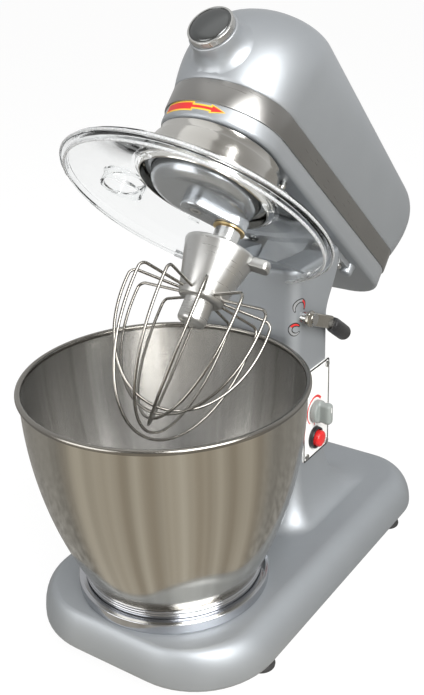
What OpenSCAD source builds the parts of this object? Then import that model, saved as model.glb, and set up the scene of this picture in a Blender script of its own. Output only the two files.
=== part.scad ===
// Tilt-head planetary stand mixer, drawn with its head raised.
// Millimetres. The front is -Y, the control panel is on +X, the feet stand on Z = 0.
// Pieces of the head are drawn as if the head were down, with the bowl's axis as X = Y = 0,
// and head_place() then raises them.

/* [Stance] */
// Angle by which the head is raised
tilt_angle = 44; // [36:1:46]
// Distance of the bowl's axis in front of the origin
bowl_setback = 126.5; // [110:0.5:140]
// Distance of the head hinge behind the bowl's axis
hinge_y = 164; // [160:1:170]
// Height of the head hinge
hinge_z = 243; // [238:1:248]

/* [Base] */
// Half the width of the base
base_half_width = 108.5; // [98:0.5:114]
// Distance from the bowl's axis to the front of the base
base_front = 90; // [90:1:100]
// Distance from the bowl's axis to the rear of the base
base_rear = 284; // [280:1:320]
// Height of the flat top of the base
base_top = 58; // [54:1:64]
// Radius of the front corners of the base
base_front_corner = 72; // [60:1:90]
// Radius of the rear corners of the base
base_rear_corner = 52; // [40:1:60]
// Inset of the rounded upper edge at the front of the base
base_edge = 9; // [7:1:10]
// Inset of the rounded upper edge at the sides and rear of the base
base_side_edge = 22; // [16:1:24]
// Height of the rounded upper edge of the base
base_edge_height = 30; // [20:1:32]
// How far the lower edge of the base is drawn in
base_tuck = 8; // [4:1:10]
// Wall of the castings
casting_wall = 6; // [5:0.5:7]
// Height of the rubber feet
foot_height = 20.5; // [12:0.5:22]
// Radius of the rubber feet
foot_radius = 12; // [10:0.5:14]

/* [Column] */
// Half the width of the column
column_half_width = 51; // [50:1:58]
// Front face of the column, from the bowl's axis
column_front = 117; // [117:0.5:119]
// Rear face of the column, from the bowl's axis
column_rear = 179; // [176:1:184]
// Height of the column
column_top = 300; // [294:1:301]
// Corner radius of the column
column_corner = 12; // [8:1:16]
// How far the rear of the column leans back at its top
column_lean = 22; // [10:1:24]

/* [Bowl] */
// Outer radius of the bowl's rim
bowl_radius = 115; // [110:0.5:115]
// Height of the bowl's rim above the table
bowl_rim_z = 242; // [238:1:244]
// Sheet of the bowl
bowl_wall = 1.2; // [0.8:0.1:1.6]
// Radius of the curved bowl wall, seen from the side
bowl_curve = 350; // [320:5:400]
// Radius of the rounded bowl bottom
bowl_corner = 22; // [16:1:26]
// Radius of the rolled rim
bead_radius = 2.4; // [1.8:0.1:2.8]
// Outer radius of the bowl's foot ring
foot_ring_radius = 73.5; // [70:0.5:74]

/* [Head] */
// Half the width of the head at its band
head_half_width = 51; // [50:0.5:56]
// Distance from the bowl's axis to the nose of the head
head_nose = 51; // [51:0.5:58]
// Distance from the bowl's axis to the rear of the head
head_rear = 277; // [268:1:284]
// Height of the underside of the head, above the bowl's axis
head_under = 304; // [304:0.5:308]
// Height of the joint between lower casting and cover, above the bowl's axis
head_joint = 328; // [326:1:332]
// Height of the top of the head
head_top = 432; // [428:1:444]
// Rise of the joint line towards the rear, per millimetre
head_slope = 0.065; // [0.03:0.005:0.07]
// Wall of the top cover
cover_wall = 3.5; // [2.5:0.25:4]
// Height of the bright trim band
band_height = 20; // [16:1:24]

/* [Planetary drive] */
// Distance of the beater's axis from the bowl's axis
eccentricity = 30; // [30:1:30]
// Angle of the beater about the bowl's axis at rest, from the panel side towards the column
planet_angle = 47; // [0:1:90]
// Tooth module of the planet gears
planet_module = 1.5; // [1.5:0.5:1.5]
// Teeth of the fixed ring gear
ring_teeth = 56; // [56:1:56]
// Tooth module of the reduction gears
drive_module = 1.25; // [1.25:0.25:1.25]
// Teeth of the main gear
main_teeth = 60; // [56:2:64]
// Teeth of the intermediate pinion
pinion_teeth = 15; // [13:2:17]
// Radius of the large belt pulley
large_pulley = 30; // [26:1:32]
// Radius of the motor's belt pulley
small_pulley = 9; // [8:0.5:10]
// Distance of the motor behind the bowl's axis
motor_y = 168; // [160:1:180]
// Radius of the motor
motor_radius = 37; // [34:1:38]

/* [Whisk] */
// Largest radius of the whisk
whisk_radius = 58; // [50:1:62]
// Height of the whisk's lowest wire, with the head down
whisk_tip_z = 76; // [74:1:90]
// Radius of the whisk's wires
wire_radius = 1.2; // [1:0.05:1.3]
// Number of wire loops
wire_loops = 6; // [4:1:6]
// Radius of the top of the whisk's hub
whisk_hub_radius = 29; // [25:0.5:31]

/* [Controls] */
// Width of the control plate
plate_width = 46; // [42:1:48]
// Height of the control plate
plate_height = 88; // [80:1:92]
// Height of the lower edge of the control plate
plate_z = 115; // [115:1:120]
// Radius of the speed knob
knob_radius = 10.5; // [9:0.5:12]
// Radius of the stop button
button_radius = 8; // [7:0.5:9]

/* [Hidden] */
$fn = 64;
// clearances: a still seam, a running fit, a gap between bodies
seam = 0.15;
running = 0.05;
free = 0.4;
// points on each corner arc of a lofted outline
corner_points = 8;
// screws
screw_radius = 2.5;
head_of_screw = 4.5;
small_screw = 1.6;
// the sweeping foot of the column
flare_side = 20;
flare_front = 26;
flare_rear = 72;
flare_height = 55;
// the base's bosses and its cord gland
foot_inset = 23;
foot_front_y = -1;
foot_rear_inset = 43;
foot_places = [
    for (x = [-1, 1], y = [foot_front_y, base_rear - foot_rear_inset]) [x * (base_half_width - foot_inset), y]
];
gland_radius = 8;
gland_z = 33;
// the slot in the column and the hinge tongue in it
slot_half_width = 22;
slot_front = column_front + 4.5;
slot_floor = hinge_z - 29;
cavity_top = slot_floor - 9;
tongue_half_width = slot_half_width - 2;
tongue_radius = 20;
// the column's rear ears, either side of the bracket's flange
ear_z = slot_floor + 30;
ear_rise = 46;
ear_inside = 41;
ear_gap = 6;
hinge_pin_radius = 6;
// the lock lever
lever_y = column_front + 12.5;
lever_z = hinge_z + 14;
lever_shaft = 5;
arm_out = 6;
arm_length = 34;
arm_drop = 24;
rod_radius = 2.3;
grip_drop = 36;
grip_length = 34;
grip_radius = 7;
// the controls on the column's side
panel_x = column_half_width;
plate_thickness = 1.5;
plate_y = column_front + 12;
plate_mid = plate_y + plate_width / 2;
knob_at = [plate_mid - 3.6, plate_z + 45.6];
button_at = [plate_mid - 4, plate_z + 19];
control_bush = 4.5;
knob_out = plate_thickness + seam + free + 0.6;
button_out = plate_thickness + seam + 2.5;
button_travel = 4;
bezel_wall = 1.6;
// the bowl's profile and its seat
bowl_wall_r = bowl_radius - 3;
bowl_wall_z = bowl_rim_z - 7;
corner_z = base_top + 18;
wall_angle = asin((corner_z - bowl_wall_z) / bowl_curve);
corner_centre = [
    bowl_wall_r - bowl_curve + (bowl_curve - bowl_corner) * cos(wall_angle),
    bowl_wall_z + (bowl_curve - bowl_corner) * sin(wall_angle)
];
seat_flange = 3;
seat_depth = 10;
seat_inner = foot_ring_radius + 3.5;
seat_outer = seat_inner + 3;
lug_height = 3;
lug_angle = 30;
tab_angle = 84;
lock_angles = [70, 190, 310];
// the head's shells
under_slope = 0.7 * head_slope;
under_edge = 4;
cover_side = 31;
cover_front = 85;
cover_back = 34;
cover_bulge = 12;
cover_start = band_height / 2 + seam;
band_out = 1.4;
bracket_flange = 5;
bracket_screw_places = [for (x = [-32, 32], y = [-26, 26]) [x, hinge_y + y]];
// the pin beside the collar
pin_at = [38, 42];
// the accessory hub on the nose
hub_cap_z = head_joint + 37;
hub_pitch = 6;
hub_front = head_nose + 17;
hub_bore = 14;
sleeve_wall = 3;
cap_radius = 18.5;
// the planetary drive
collar_top = head_under - 3.2;
collar_bottom = collar_top - 36;
collar_radius = 50;
collar_wall = 1.4;
collar_flare = 4;
collar_step = 6;
housing_radius = 36;
bearing_outer = 19;
ring_gear_height = 10;
ring_gear_z = collar_top - 4.8 - ring_gear_height;
ring_gear_rim = 5.8;
planet_teeth = ring_teeth - 2 * eccentricity / planet_module;
hub_radius = 44.5;
hub_top = ring_gear_z - 3;
hub_bottom = hub_top - 25;
hub_wall = 5;
hub_round = 7;
boss_drop = 8;
boss_half_width = 13;
spindle_radius = 8;
bush_outer = 11;
// the reduction gears, the belt and the motor
main_radius = main_teeth * drive_module / 2;
pinion_radius = pinion_teeth * drive_module / 2;
layshaft_y = main_radius + pinion_radius;
layshaft_radius = 6;
main_gear_z = head_joint + 10;
gear_height = 11;
bridge_z = main_gear_z + gear_height + 4;
bridge_thickness = 4;
spindle_top = bridge_z + bridge_thickness + 5;
bridge_half = 44;
bridge_front = -12;
bridge_rear = layshaft_y + 34;
post_radius = 4;
bridge_places = [
    for (x = [-1, 1], y = [main_radius * 0.6, bridge_rear - 6]) [x * (bridge_half - post_radius), y]
];
pulley_z = head_top - 40;
pulley_height = 10;
belt_thickness = 2.4;
motor_mount = 4;
motor_floor = head_floor(motor_y + motor_radius) + motor_mount;
motor_top = pulley_z - 6;
motor_shaft = 4;
motor_wall = 3;
// the beater
shaft_upper = 8;
shaft_lower = 10.5;
shaft_step = hub_bottom - boss_drop - 1.6;
whisk_top = hub_bottom - 26;
shaft_low = whisk_top - 30;
whisk_hub_low = whisk_top - 45;
whisk_nub_low = whisk_top - 64;
leg_z = whisk_top - 40;
pin_z = whisk_top + 4.4;
pin_radius = 2.5;
latch_angle = -30;
latch_half = 7;
latch_height = 8;
latch_length = 21;
latch_low = whisk_top + 0.2 - latch_height;
wire_angles = [for (i = [0 : wire_loops - 1]) 180 * i / wire_loops + 15];
wire_start = 15;
wire_sides = 8;
wire_stagger = 2 * wire_radius + 2.4;
shoulder = 6;
// exponents of the whisk's belly: lower is fuller
fullness = 1;
droop = 0.95;
// the guard over the bowl
guard_rim_r = bowl_radius - 3.5;
guard_rim_z = bowl_rim_z + 6;
guard_inner_r = collar_radius + collar_flare + 1.9;
guard_inner_z = collar_bottom + 4;
guard_wall = 2.2;
guard_cut = column_front - 29;
chute_at = [-74, -4];
chute_radius = 18;
chute_height = 15;

// Which sub-part to draw

// Shared shapes

// a point list along an arc in a plane
function arc(centre, radius, from, to, steps) =
    [for (i = [0 : steps]) let (a = from + (to - from) * i / steps) centre + radius * [cos(a), sin(a)]];

// an outline with rounded corners, as a ring of points whose height rises towards the rear
function outline(half, front, rear, r_front, r_rear, z, slope = 0) =
    let (
        flat = concat(
            arc([half - r_front, front + r_front], r_front, -90, 0, corner_points),
            arc([half - r_rear, rear - r_rear], r_rear, 0, 90, corner_points),
            arc([r_rear - half, rear - r_rear], r_rear, 90, 180, corner_points),
            arc([r_front - half, front + r_front], r_front, 180, 270, corner_points)
        )
    )
    [for (p = flat) [p[0], p[1], z + slope * p[1]]];

// a closed skin over a row of rings, with its ends closed unless the row is a loop
module loft(rings, loop = false) {
    n = len(rings[0]);
    count = len(rings);
    last = loop ? count - 1 : count - 2;
    sides = [
        for (i = [0 : last], k = [0 : n - 1], half = [0, 1])
            let (j = (i + 1) % count, m = (k + 1) % n)
                half == 0 ? [i * n + k, j * n + k, j * n + m] : [i * n + k, j * n + m, i * n + m]
    ];
    ends = loop ? [] : [
        for (k = [1 : n - 2], end = [0, 1])
            end == 0 ? [0, k, k + 1] : [(count - 1) * n, (count - 1) * n + k + 1, (count - 1) * n + k]
    ];
    polyhedron(points = [for (ring = rings, p = ring) p], faces = concat(sides, ends), convexity = 8);
}

module ring(inner, outer, height) {
    difference() {
        cylinder(r = outer, h = height);
        translate([0, 0, -1]) cylinder(r = inner, h = height + 2);
    }
}

// an involute gear outline with a tooth on the +X axis
module gear_outline(teeth, module_size, tip, root, thinner) {
    pitch = teeth * module_size / 2;
    base = pitch * cos(20);
    function roll(r) = let (c = min(1, base / r), a = acos(c)) tan(a) * 180 / PI - a;
    function half(r) = 90 / teeth - thinner / pitch * 180 / PI + roll(pitch) - roll(max(r, base));
    radii = [for (i = [0 : 3]) root + (tip - root) * i / 3];
    points = [
        for (t = [0 : teeth - 1], side = [-1, 1], i = [0 : 3])
            let (r = side < 0 ? radii[i] : radii[3 - i], a = 360 * t / teeth + side * half(r))
                r * [cos(a), sin(a)]
    ];
    polygon(points);
}

module external_gear(teeth, module_size, height, bore) {
    pitch = teeth * module_size / 2;
    linear_extrude(height)
        difference() {
            gear_outline(teeth, module_size, pitch + 0.85 * module_size, pitch - 1.2 * module_size, 0.12);
            circle(r = bore);
        }
}

module screw(length) {
    cylinder(r = screw_radius, h = length);
    difference() {
        translate([0, 0, -2.4]) cylinder(r = head_of_screw, h = 2.4);
        for (a = [0, 90]) rotate(a) translate([-2.6, -0.6, -3]) cube([5.2, 1.2, 1.8]);
    }
}

// Placing

module bowl_place() translate([0, -bowl_setback, 0]) children();
module head_place()
    bowl_place()
        translate([0, hinge_y, hinge_z]) rotate([-tilt_angle, 0, 0]) translate([0, -hinge_y, -hinge_z])
            children();
module beater_place()
    head_place() rotate(planet_angle) translate([eccentricity, 0, 0]) children();
// a place on the column's panel side, with local Z pointing out of the panel
module panel_place(at, out = 0)
    bowl_place() translate([panel_x + out, at[0], at[1]]) rotate([0, 90, 0]) children();
module lever_place() bowl_place() translate([0, lever_y, lever_z]) rotate([0, 90, 0]) children();
module accessory_place()
    head_place() translate([0, -hub_front, hub_cap_z]) rotate([90 - hub_pitch, 0, 0]) children();

// Base and column

function base_ring(inset, z, front = undef) =
    outline(
        base_half_width - inset, (is_undef(front) ? inset : front) - base_front, base_rear - inset,
        base_front_corner - inset, base_rear_corner - inset, z
    );
function column_ring(inset, z, lean) =
    outline(
        column_half_width - inset, column_front + inset, column_rear + lean - inset,
        max(column_corner - inset, 4), max(column_corner - inset, 4), z
    );
// the sweeping foot of the column: part 0 lies on the base, part 1 on the column
function flare_ring(part, inset) =
    let (out = 1 - sin(90 * part), corner = column_corner + 18 * out)
    outline(
        column_half_width + flare_side * out - inset,
        column_front - flare_front * out + inset,
        column_rear + flare_rear * out - inset,
        max(corner - inset, 4), max(corner - inset, 4),
        base_top - inset + flare_height * (1 - cos(90 * part))
    );

module base_casting() color("Silver") {
    // the foot screws' bosses end below the base's inner ceiling
    boss_z = foot_height + 3;
    difference() {
        bowl_place() {
            loft(concat(
                [column_ring(casting_wall, cavity_top, 0)],
                [for (part = [1, 0.66, 0.33, 0]) flare_ring(part, casting_wall)],
                [base_ring(base_side_edge + casting_wall, base_top - casting_wall, base_edge + casting_wall)],
                [base_ring(casting_wall, base_top - base_edge_height)],
                [base_ring(casting_wall + base_tuck, foot_height)],
                [base_ring(base_tuck, foot_height)],
                [base_ring(base_tuck * 0.4, (foot_height + base_top - base_edge_height) / 2)],
                [for (a = [0 : 18 : 90])
                    let (drawn = 1 - cos(a), z = base_top - base_edge_height * (1 - sin(a)))
                        base_ring(base_side_edge * drawn, z, base_edge * drawn)],
                [for (part = [0 : 0.2 : 1]) flare_ring(part, 0)],
                [column_ring(0, slot_floor + 6, 0)],
                [for (t = [0.2 : 0.2 : 1])
                    column_ring(0, ear_z + ear_rise * t, column_lean * (3 * pow(t, 2) - 2 * pow(t, 3)))],
                [column_ring(0, column_top - 4, column_lean)],
                [column_ring(3, column_top, column_lean)]
            ));
            for (p = foot_places)
                translate([p[0], p[1], boss_z]) cylinder(r = 8, h = base_top - casting_wall - boss_z + 1);
        }
        bowl_place() {
            // slot for the head's hinge tongue, open to the top and the rear
            translate([-slot_half_width, slot_front, slot_floor]) cube([2 * slot_half_width, 120, 120]);
            // gap between the ears, for the flange of the head's bracket
            translate([-ear_inside, column_rear + ear_gap, ear_z]) cube([2 * ear_inside, 120, 120]);
            // hinge pin and lock shaft
            translate([-column_half_width - 1, hinge_y, hinge_z])
                rotate([0, 90, 0]) cylinder(r = hinge_pin_radius + running, h = 2 * column_half_width - 9);
            // holes for the foot screws and the seat ring's screws
            for (p = foot_places) translate([p[0], p[1], 0])
                cylinder(r = screw_radius + seam, h = base_top - 14);
            for (p = seat_screw_places()) translate([p[0], p[1], base_top - 12])
                cylinder(r = screw_radius + seam, h = 20);
            // the cord's gland in the rear wall
            translate([0, base_rear - 30, gland_z]) rotate([-90, 0, 0])
                cylinder(r = gland_radius + seam, h = 60);
        }
        lever_place() translate([0, 0, -slot_half_width - 18])
            cylinder(r = lever_shaft + running, h = slot_half_width + column_half_width + 30);
        // openings behind the control plate
        panel_place(knob_at, -20) cylinder(r = control_bush + seam, h = 40);
        panel_place(button_at, -20) cylinder(r = button_radius + bezel_wall + seam, h = 40);
        for (p = plate_screw_places()) panel_place(p, -10) cylinder(r = small_screw + seam, h = 20);
    }
}

module bottom_cover() color("DimGray")
    bowl_place() difference() {
        translate([0, 0, foot_height + 0.6]) linear_extrude(2)
            polygon([for (p = base_ring(casting_wall + base_tuck + free, 0)) [p[0], p[1]]]);
        for (p = foot_places) translate([p[0], p[1], 0]) cylinder(r = screw_radius + seam, h = 40);
        // cooling slots
        for (i = [-3 : 3]) translate([i * 14 - 3, 120, 0]) cube([6, 60, 40]);
    }

module feet() color("Black")
    for (p = foot_places) bowl_place() translate([p[0], p[1], 0])
        rotate_extrude() polygon([
            [screw_radius + seam, 4], [7, 4], [7, 0], [foot_radius - 1, 0], [foot_radius, 1.5],
            [foot_radius - 2, foot_height - seam], [screw_radius + seam, foot_height - seam]
        ]);

module foot_screws() color("Gray")
    for (p = foot_places) bowl_place() translate([p[0], p[1], 4 - seam]) screw(foot_height + 14);

module cord_gland() color("Black")
    bowl_place() translate([0, base_rear - casting_wall - 6, gland_z]) rotate([-90, 0, 0]) {
        difference() {
            union() {
                cylinder(r = gland_radius, h = casting_wall + 8);
                translate([0, 0, casting_wall + 6 + seam])
                    cylinder(r1 = gland_radius + 3, r2 = gland_radius + 1, h = 5);
            }
            translate([0, 0, -1]) cylinder(r = 4, h = 40);
        }
    }

// Bowl and its seat

function seat_screw_places() = [for (a = [30, 150, 270]) (seat_inner - 12) * [cos(a), sin(a)]];

module seat_ring() color("LightSteelBlue")
    bowl_place() translate([0, 0, base_top]) difference() {
        union() {
            rotate(60) rotate_extrude() polygon([
                [seat_inner - 18, seam], [seat_outer, seam], [seat_outer, seat_depth - 1],
                [seat_outer - 1, seat_depth], [seat_inner, seat_depth],
                [seat_inner, seat_flange], [seat_inner - 18, seat_flange]
            ]);
            for (a = lock_angles) rotate(a - tab_angle / 2)
                rotate_extrude(angle = tab_angle)
                    translate([foot_ring_radius + free, seat_depth - 2.2])
                        square([seat_inner - foot_ring_radius - free + 0.5, 2.2]);
        }
        for (p = seat_screw_places()) translate([p[0], p[1], -1]) cylinder(r = screw_radius + seam, h = 20);
    }

module seat_screws() color("Silver")
    for (p = seat_screw_places()) bowl_place()
        translate([p[0], p[1], base_top + seat_flange + seam]) rotate([180, 0, 0]) screw(13);

// the profile of the bowl's outside, offset inwards by inset
function bowl_side(inset) = concat(
    arc(corner_centre, bowl_corner - inset, -90, wall_angle, 8),
    arc([bowl_wall_r - bowl_curve, bowl_wall_z], bowl_curve - inset, wall_angle, 0, 14)
);
module bowl() color("Gainsboro")
    bowl_place() rotate_extrude($fn = 96) {
        outer = bowl_side(0);
        inner = bowl_side(bowl_wall);
        rim = bowl_rim_z - bead_radius;
        polygon(concat(
            [[0, outer[0][1]]], outer, [[bowl_wall_r, rim]],
            [[bowl_wall_r - bowl_wall, rim]],
            [for (i = [len(inner) - 1 : -1 : 0]) inner[i]], [[0, inner[0][1]]]
        ));
        translate([bowl_radius - bead_radius, rim]) circle(r = bead_radius, $fn = 24);
    }

function bowl_under(r) = corner_centre[1] - sqrt(pow(bowl_corner, 2) - pow(r - corner_centre[0], 2));
module bowl_foot_ring() color("Gainsboro")
    bowl_place() {
        low = base_top + seat_flange + free;
        thin = foot_ring_radius - 2.5;
        rotate(60) rotate_extrude() polygon([
            [thin, low], [foot_ring_radius, low],
            [foot_ring_radius, bowl_under(foot_ring_radius) - 0.3], [thin, bowl_under(thin) - 0.3]
        ]);
        for (a = lock_angles) rotate(a - lug_angle / 2)
            translate([0, 0, low + 0.2]) rotate_extrude(angle = lug_angle)
                translate([foot_ring_radius - 1, 0])
                    square([seat_inner - foot_ring_radius - free + 1, lug_height]);
    }

// Controls

function plate_screw_places() = [
    for (y = [5, plate_width - 5], z = [5, plate_height - 5]) [plate_y + y, plate_z + z]
];
module control_plate() color("White")
    difference() {
        bowl_place() translate([panel_x + seam, plate_y, plate_z])
            cube([plate_thickness, plate_width, plate_height]);
        panel_place(knob_at, -5) cylinder(r = control_bush + seam, h = 20);
        panel_place(button_at, -5) cylinder(r = button_radius + bezel_wall + seam, h = 20);
        for (p = plate_screw_places()) panel_place(p, -5) cylinder(r = small_screw + seam, h = 20);
    }

module plate_screws() color("Silver")
    for (p = plate_screw_places()) panel_place(p, plate_thickness + 2 * seam)
        rotate([180, 0, 0]) {
            cylinder(r = small_screw, h = 7.5);
            difference() {
                translate([0, 0, -1.4]) cylinder(r = 2.8, h = 1.4);
                translate([-3, -0.4, -2]) cube([6, 0.8, 1.2]);
            }
        }

module speed_knob() color("DarkGray")
    panel_place(knob_at, knob_out) difference() {
        union() {
            rotate_extrude() polygon([
                [0, 0], [knob_radius, 0], [knob_radius, 4], [knob_radius - 1.2, 5.5], [0, 5.5]
            ]);
            translate([-knob_radius + 0.5, -4.5, 5]) cube([2 * knob_radius - 1, 9, 11]);
        }
        translate([0, 0, -1]) cylinder(r = 3 + running, h = 13);
    }

module speed_control() color("SlateGray")
    panel_place(knob_at) {
        translate([0, 0, -casting_wall - 14 - seam]) cylinder(r = 12, h = 14);
        translate([0, 0, -casting_wall - 1])
            cylinder(r = control_bush, h = casting_wall + plate_thickness + 1.3);
        cylinder(r = 3, h = knob_out + 9);
    }

module stop_button() color("Red")
    panel_place(button_at, button_out) rotate_extrude() polygon(concat(
        [[0, -2], [button_radius, -2], [button_radius, 4]],
        arc([button_radius - 2, 4], 2, 0, 90, 4),
        [[0, 6.4]]
    ));

module button_bezel() color("Black")
    panel_place(button_at, 0) difference() {
        union() {
            translate([0, 0, plate_thickness + 2 * seam])
                cylinder(r1 = button_radius + 4, r2 = button_radius + 3, h = 4);
            translate([0, 0, -casting_wall - 2])
                cylinder(r = button_radius + bezel_wall, h = casting_wall + 4);
        }
        translate([0, 0, -casting_wall - 3]) cylinder(r = button_radius + free, h = 40);
    }

module switch_block() color("DarkSlateGray")
    panel_place(button_at, -casting_wall - 2 - seam) {
        translate([-13, -13, -16]) cube([26, 26, 16]);
        cylinder(r = 4, h = casting_wall + 2 + button_out - 2 - button_travel - free);
    }

// Hinge and lock lever

module hinge_pin() color("Silver")
    bowl_place() translate([-column_half_width + 1, hinge_y, hinge_z]) rotate([0, 90, 0])
        cylinder(r = hinge_pin_radius, h = 2 * column_half_width - 12);

module lock_shaft() color("Silver")
    difference() {
        lever_place() translate([0, 0, -slot_half_width - 16])
            cylinder(r = lever_shaft, h = slot_half_width + 16 + column_half_width + arm_out + 6);
        // the flat that lets the tongue's nose past when the lever is open
        bowl_place() translate([-slot_half_width + 0.5, lever_y, lever_z - 20])
            cube([2 * slot_half_width - 1, 20, 40]);
    }

module lever_arm() color("Gainsboro")
    bowl_place() translate([panel_x + arm_out, lever_y, lever_z]) rotate([0, 90, 0]) rotate(90) {
        // here local X points to the rear and local Y upwards
        difference() {
            union() {
                rotate(150) cylinder(r = 9, h = 5);
                rotate(-arm_drop) translate([0, -4.5, 0]) cube([arm_length, 9, 5]);
            }
            translate([0, 0, -1]) cylinder(r = lever_shaft + running, h = 20);
        }
        rotate(-arm_drop) translate([arm_length, 0, 2.5]) rotate(arm_drop - grip_drop) rotate([0, 90, 0])
            translate([0, 0, -3]) cylinder(r = rod_radius, h = grip_length);
    }

module lever_grip() color("Black")
    bowl_place() translate([panel_x + arm_out, lever_y, lever_z]) rotate([0, 90, 0]) rotate(90)
        rotate(-arm_drop) translate([arm_length, 0, 2.5]) rotate(arm_drop - grip_drop) rotate([0, 90, 0])
            translate([0, 0, 4]) difference() {
                rotate_extrude() polygon(concat(
                    [[0, 0], [grip_radius - 1.5, 0]],
                    [[grip_radius, 3], [grip_radius, grip_length - 4]],
                    arc([grip_radius - 4, grip_length - 4], 4, 0, 90, 4),
                    [[0, grip_length]]
                ));
                translate([0, 0, -1]) cylinder(r = rod_radius + running, h = grip_length - 6);
            }

module hinge_bracket() color("Silver")
    head_place() difference() {
        union() {
            // tongue, with the nose that the lock shaft holds down
            translate([-tongue_half_width, 0, 0]) rotate([90, 0, 90]) linear_extrude(2 * tongue_half_width) {
                translate([hinge_y, hinge_z]) circle(r = tongue_radius);
                polygon([
                    [hinge_y - tongue_radius + 2, hinge_z], [hinge_y + tongue_radius - 2, hinge_z],
                    [hinge_y + tongue_radius + 4, bracket_top(hinge_y + tongue_radius + 4)],
                    [hinge_y - tongue_radius - 4, bracket_top(hinge_y - tongue_radius - 4)]
                ]);
                translate([lever_y + 1.4, lever_z - lever_shaft - 0.6 - 12])
                    square([hinge_y - lever_y - 1.4, 12]);
            }
            // flange against the head's underside
            translate([-40, 0, 0]) rotate([90, 0, 90]) linear_extrude(80) polygon([
                for (p = [[-34, -bracket_flange], [34, -bracket_flange], [34, 0], [-34, 0]])
                    [hinge_y + p[0], bracket_top(hinge_y + p[0]) + p[1]]
            ]);
        }
        translate([-60, hinge_y, hinge_z]) rotate([0, 90, 0])
            cylinder(r = hinge_pin_radius + running, h = 120);
        for (p = bracket_screw_places) translate([p[0], p[1], 290]) cylinder(r = screw_radius + seam, h = 60);
    }
function bracket_top(y) = head_outer_floor(y) - seam;
module bracket_screws() color("Gray")
    for (p = bracket_screw_places) head_place()
        translate([p[0], p[1], bracket_top(p[1]) - bracket_flange - 0.4]) screw(14);

// Head shells

function head_ring(out, z, slope) =
    outline(
        head_half_width + out, -head_nose - out, head_rear + out,
        (head_half_width + out) * 0.985, 40 + out, z, slope
    );
function head_outer_floor(y) = head_under + under_slope * y;
function head_floor(y) = head_outer_floor(y) + casting_wall;

module lower_casting() color("Silver")
    head_place() difference() {
        union() {
            loft(concat(
                [for (a = [0, 30, 60, 90])
                    let (z = head_under + under_edge * (1 - cos(a)))
                        head_ring(-under_edge * (1 - sin(a)), z, under_slope)],
                [head_ring(0, head_joint - seam, head_slope)],
                [head_ring(-4, head_joint - seam, head_slope)],
                [head_ring(-4, head_under + casting_wall, under_slope)]
            ));
            // flat landing for the collar
            translate([0, 0, collar_top + 0.2]) cylinder(r = collar_radius, h = 10);
        }
        translate([0, 0, collar_top - 1]) cylinder(r = housing_radius + 0.3, h = 40);
        for (p = bracket_screw_places) translate([p[0], p[1], head_under - 10])
            cylinder(r = screw_radius + seam, h = 60);
        translate([0, layshaft_y, head_under - 10]) cylinder(r = layshaft_radius + running, h = 40);
        translate([pin_at[0], pin_at[1], head_under - 10]) cylinder(r = 2 + seam, h = 40);
    }

// the cover's rounded rings: 0 above the band, 90 at the flat of the top
function cover_ring(a, in) =
    let (
        bulge = band_out - in + cover_bulge * sin(2 * a),
        half = head_half_width + bulge - 0.3 * cover_bulge * sin(2 * a) - cover_side * (1 - cos(a)),
        rise = cover_start + (head_top - head_joint - cover_start - in) * sin(a),
        nose = head_nose + bulge - cover_front * (1 - pow(cos(a), 0.9)),
        rear = head_rear + bulge - cover_back * (1 - pow(cos(a), 0.75))
    )
    outline(half, -nose, rear, half * 0.985, half * 0.75, head_joint + rise, head_slope * (1 - sin(a)));

module top_cover() color("Silver")
    head_place() difference() {
        union() {
            loft(concat(
                [for (a = [90, 70, 50, 32, 16]) cover_ring(a, cover_wall)],
                [for (z = [cover_start, seam]) head_ring(-cover_wall, head_joint + z, head_slope)],
                [for (z = [seam, cover_start]) head_ring(0, head_joint + z, head_slope)],
                [for (a = [0, 8, 16, 25, 34, 43, 52, 61, 70, 80, 90]) cover_ring(a, 0)]
            ));
            intersection() {
                translate([0, -hub_front, hub_cap_z]) rotate([90 - hub_pitch, 0, 0])
                    translate([0, 0, -22]) cylinder(r1 = cap_radius + 5, r2 = cap_radius + 1.5, h = 22);
                translate([-40, -90, head_joint + 8]) cube([80, 60, 80]);
            }
        }
        translate([0, -hub_front, hub_cap_z]) rotate([90 - hub_pitch, 0, 0])
            translate([0, 0, -40]) cylinder(r = hub_bore + sleeve_wall + seam, h = 60);
    }

module trim_band() color("Gray")
    head_place() loft([
        head_ring(band_out, head_joint - band_height / 2, head_slope),
        head_ring(band_out, head_joint + band_height / 2, head_slope),
        head_ring(seam, head_joint + band_height / 2, head_slope),
        head_ring(seam, head_joint - band_height / 2, head_slope)
    ], loop = true);

module hub_sleeve() color("Silver")
    accessory_place() translate([0, 0, -21.5]) ring(hub_bore, hub_bore + sleeve_wall, 21);

module hub_cap() color("Gainsboro")
    accessory_place() {
        rotate_extrude() polygon(concat(
            [[0, free], [cap_radius, free], [cap_radius, 3]],
            [for (a = [0 : 15 : 90]) [cap_radius * cos(a), 3 + 6 * sin(a)]]
        ));
        translate([0, 0, -16]) cylinder(r = hub_bore - free, h = 17);
    }

module guard_pin() color("Silver")
    head_place() translate([pin_at[0], pin_at[1], head_under - 4]) {
        cylinder(r1 = 2.4, r2 = 3.2, h = 2);
        translate([0, 0, 2 - 0.01]) cylinder(r = 3.2, h = head_outer_floor(pin_at[1]) - head_under + 2 - 0.2);
        cylinder(r = 2, h = 12);
    }

// Planetary drive

module planet_housing() color("Silver")
    head_place() difference() {
        rotate_extrude() polygon([
            [0, collar_top - 4.6], [collar_radius - collar_wall - seam, collar_top - 4.6],
            [collar_radius - collar_wall - seam, collar_top - 0.1], [housing_radius, collar_top - 0.1],
            [housing_radius, head_under + 12], [26, head_under + 18], [0, head_under + 18]
        ]);
        cylinder(r = spindle_radius + 1, h = 500);
        translate([0, 0, collar_top]) cylinder(r = bearing_outer + seam, h = 60);
    }
module spindle_bearings() color("LightGray")
    for (z = [collar_top + seam, head_under + 9]) head_place() translate([0, 0, z])
        ring(spindle_radius + running, bearing_outer, 9);

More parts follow.
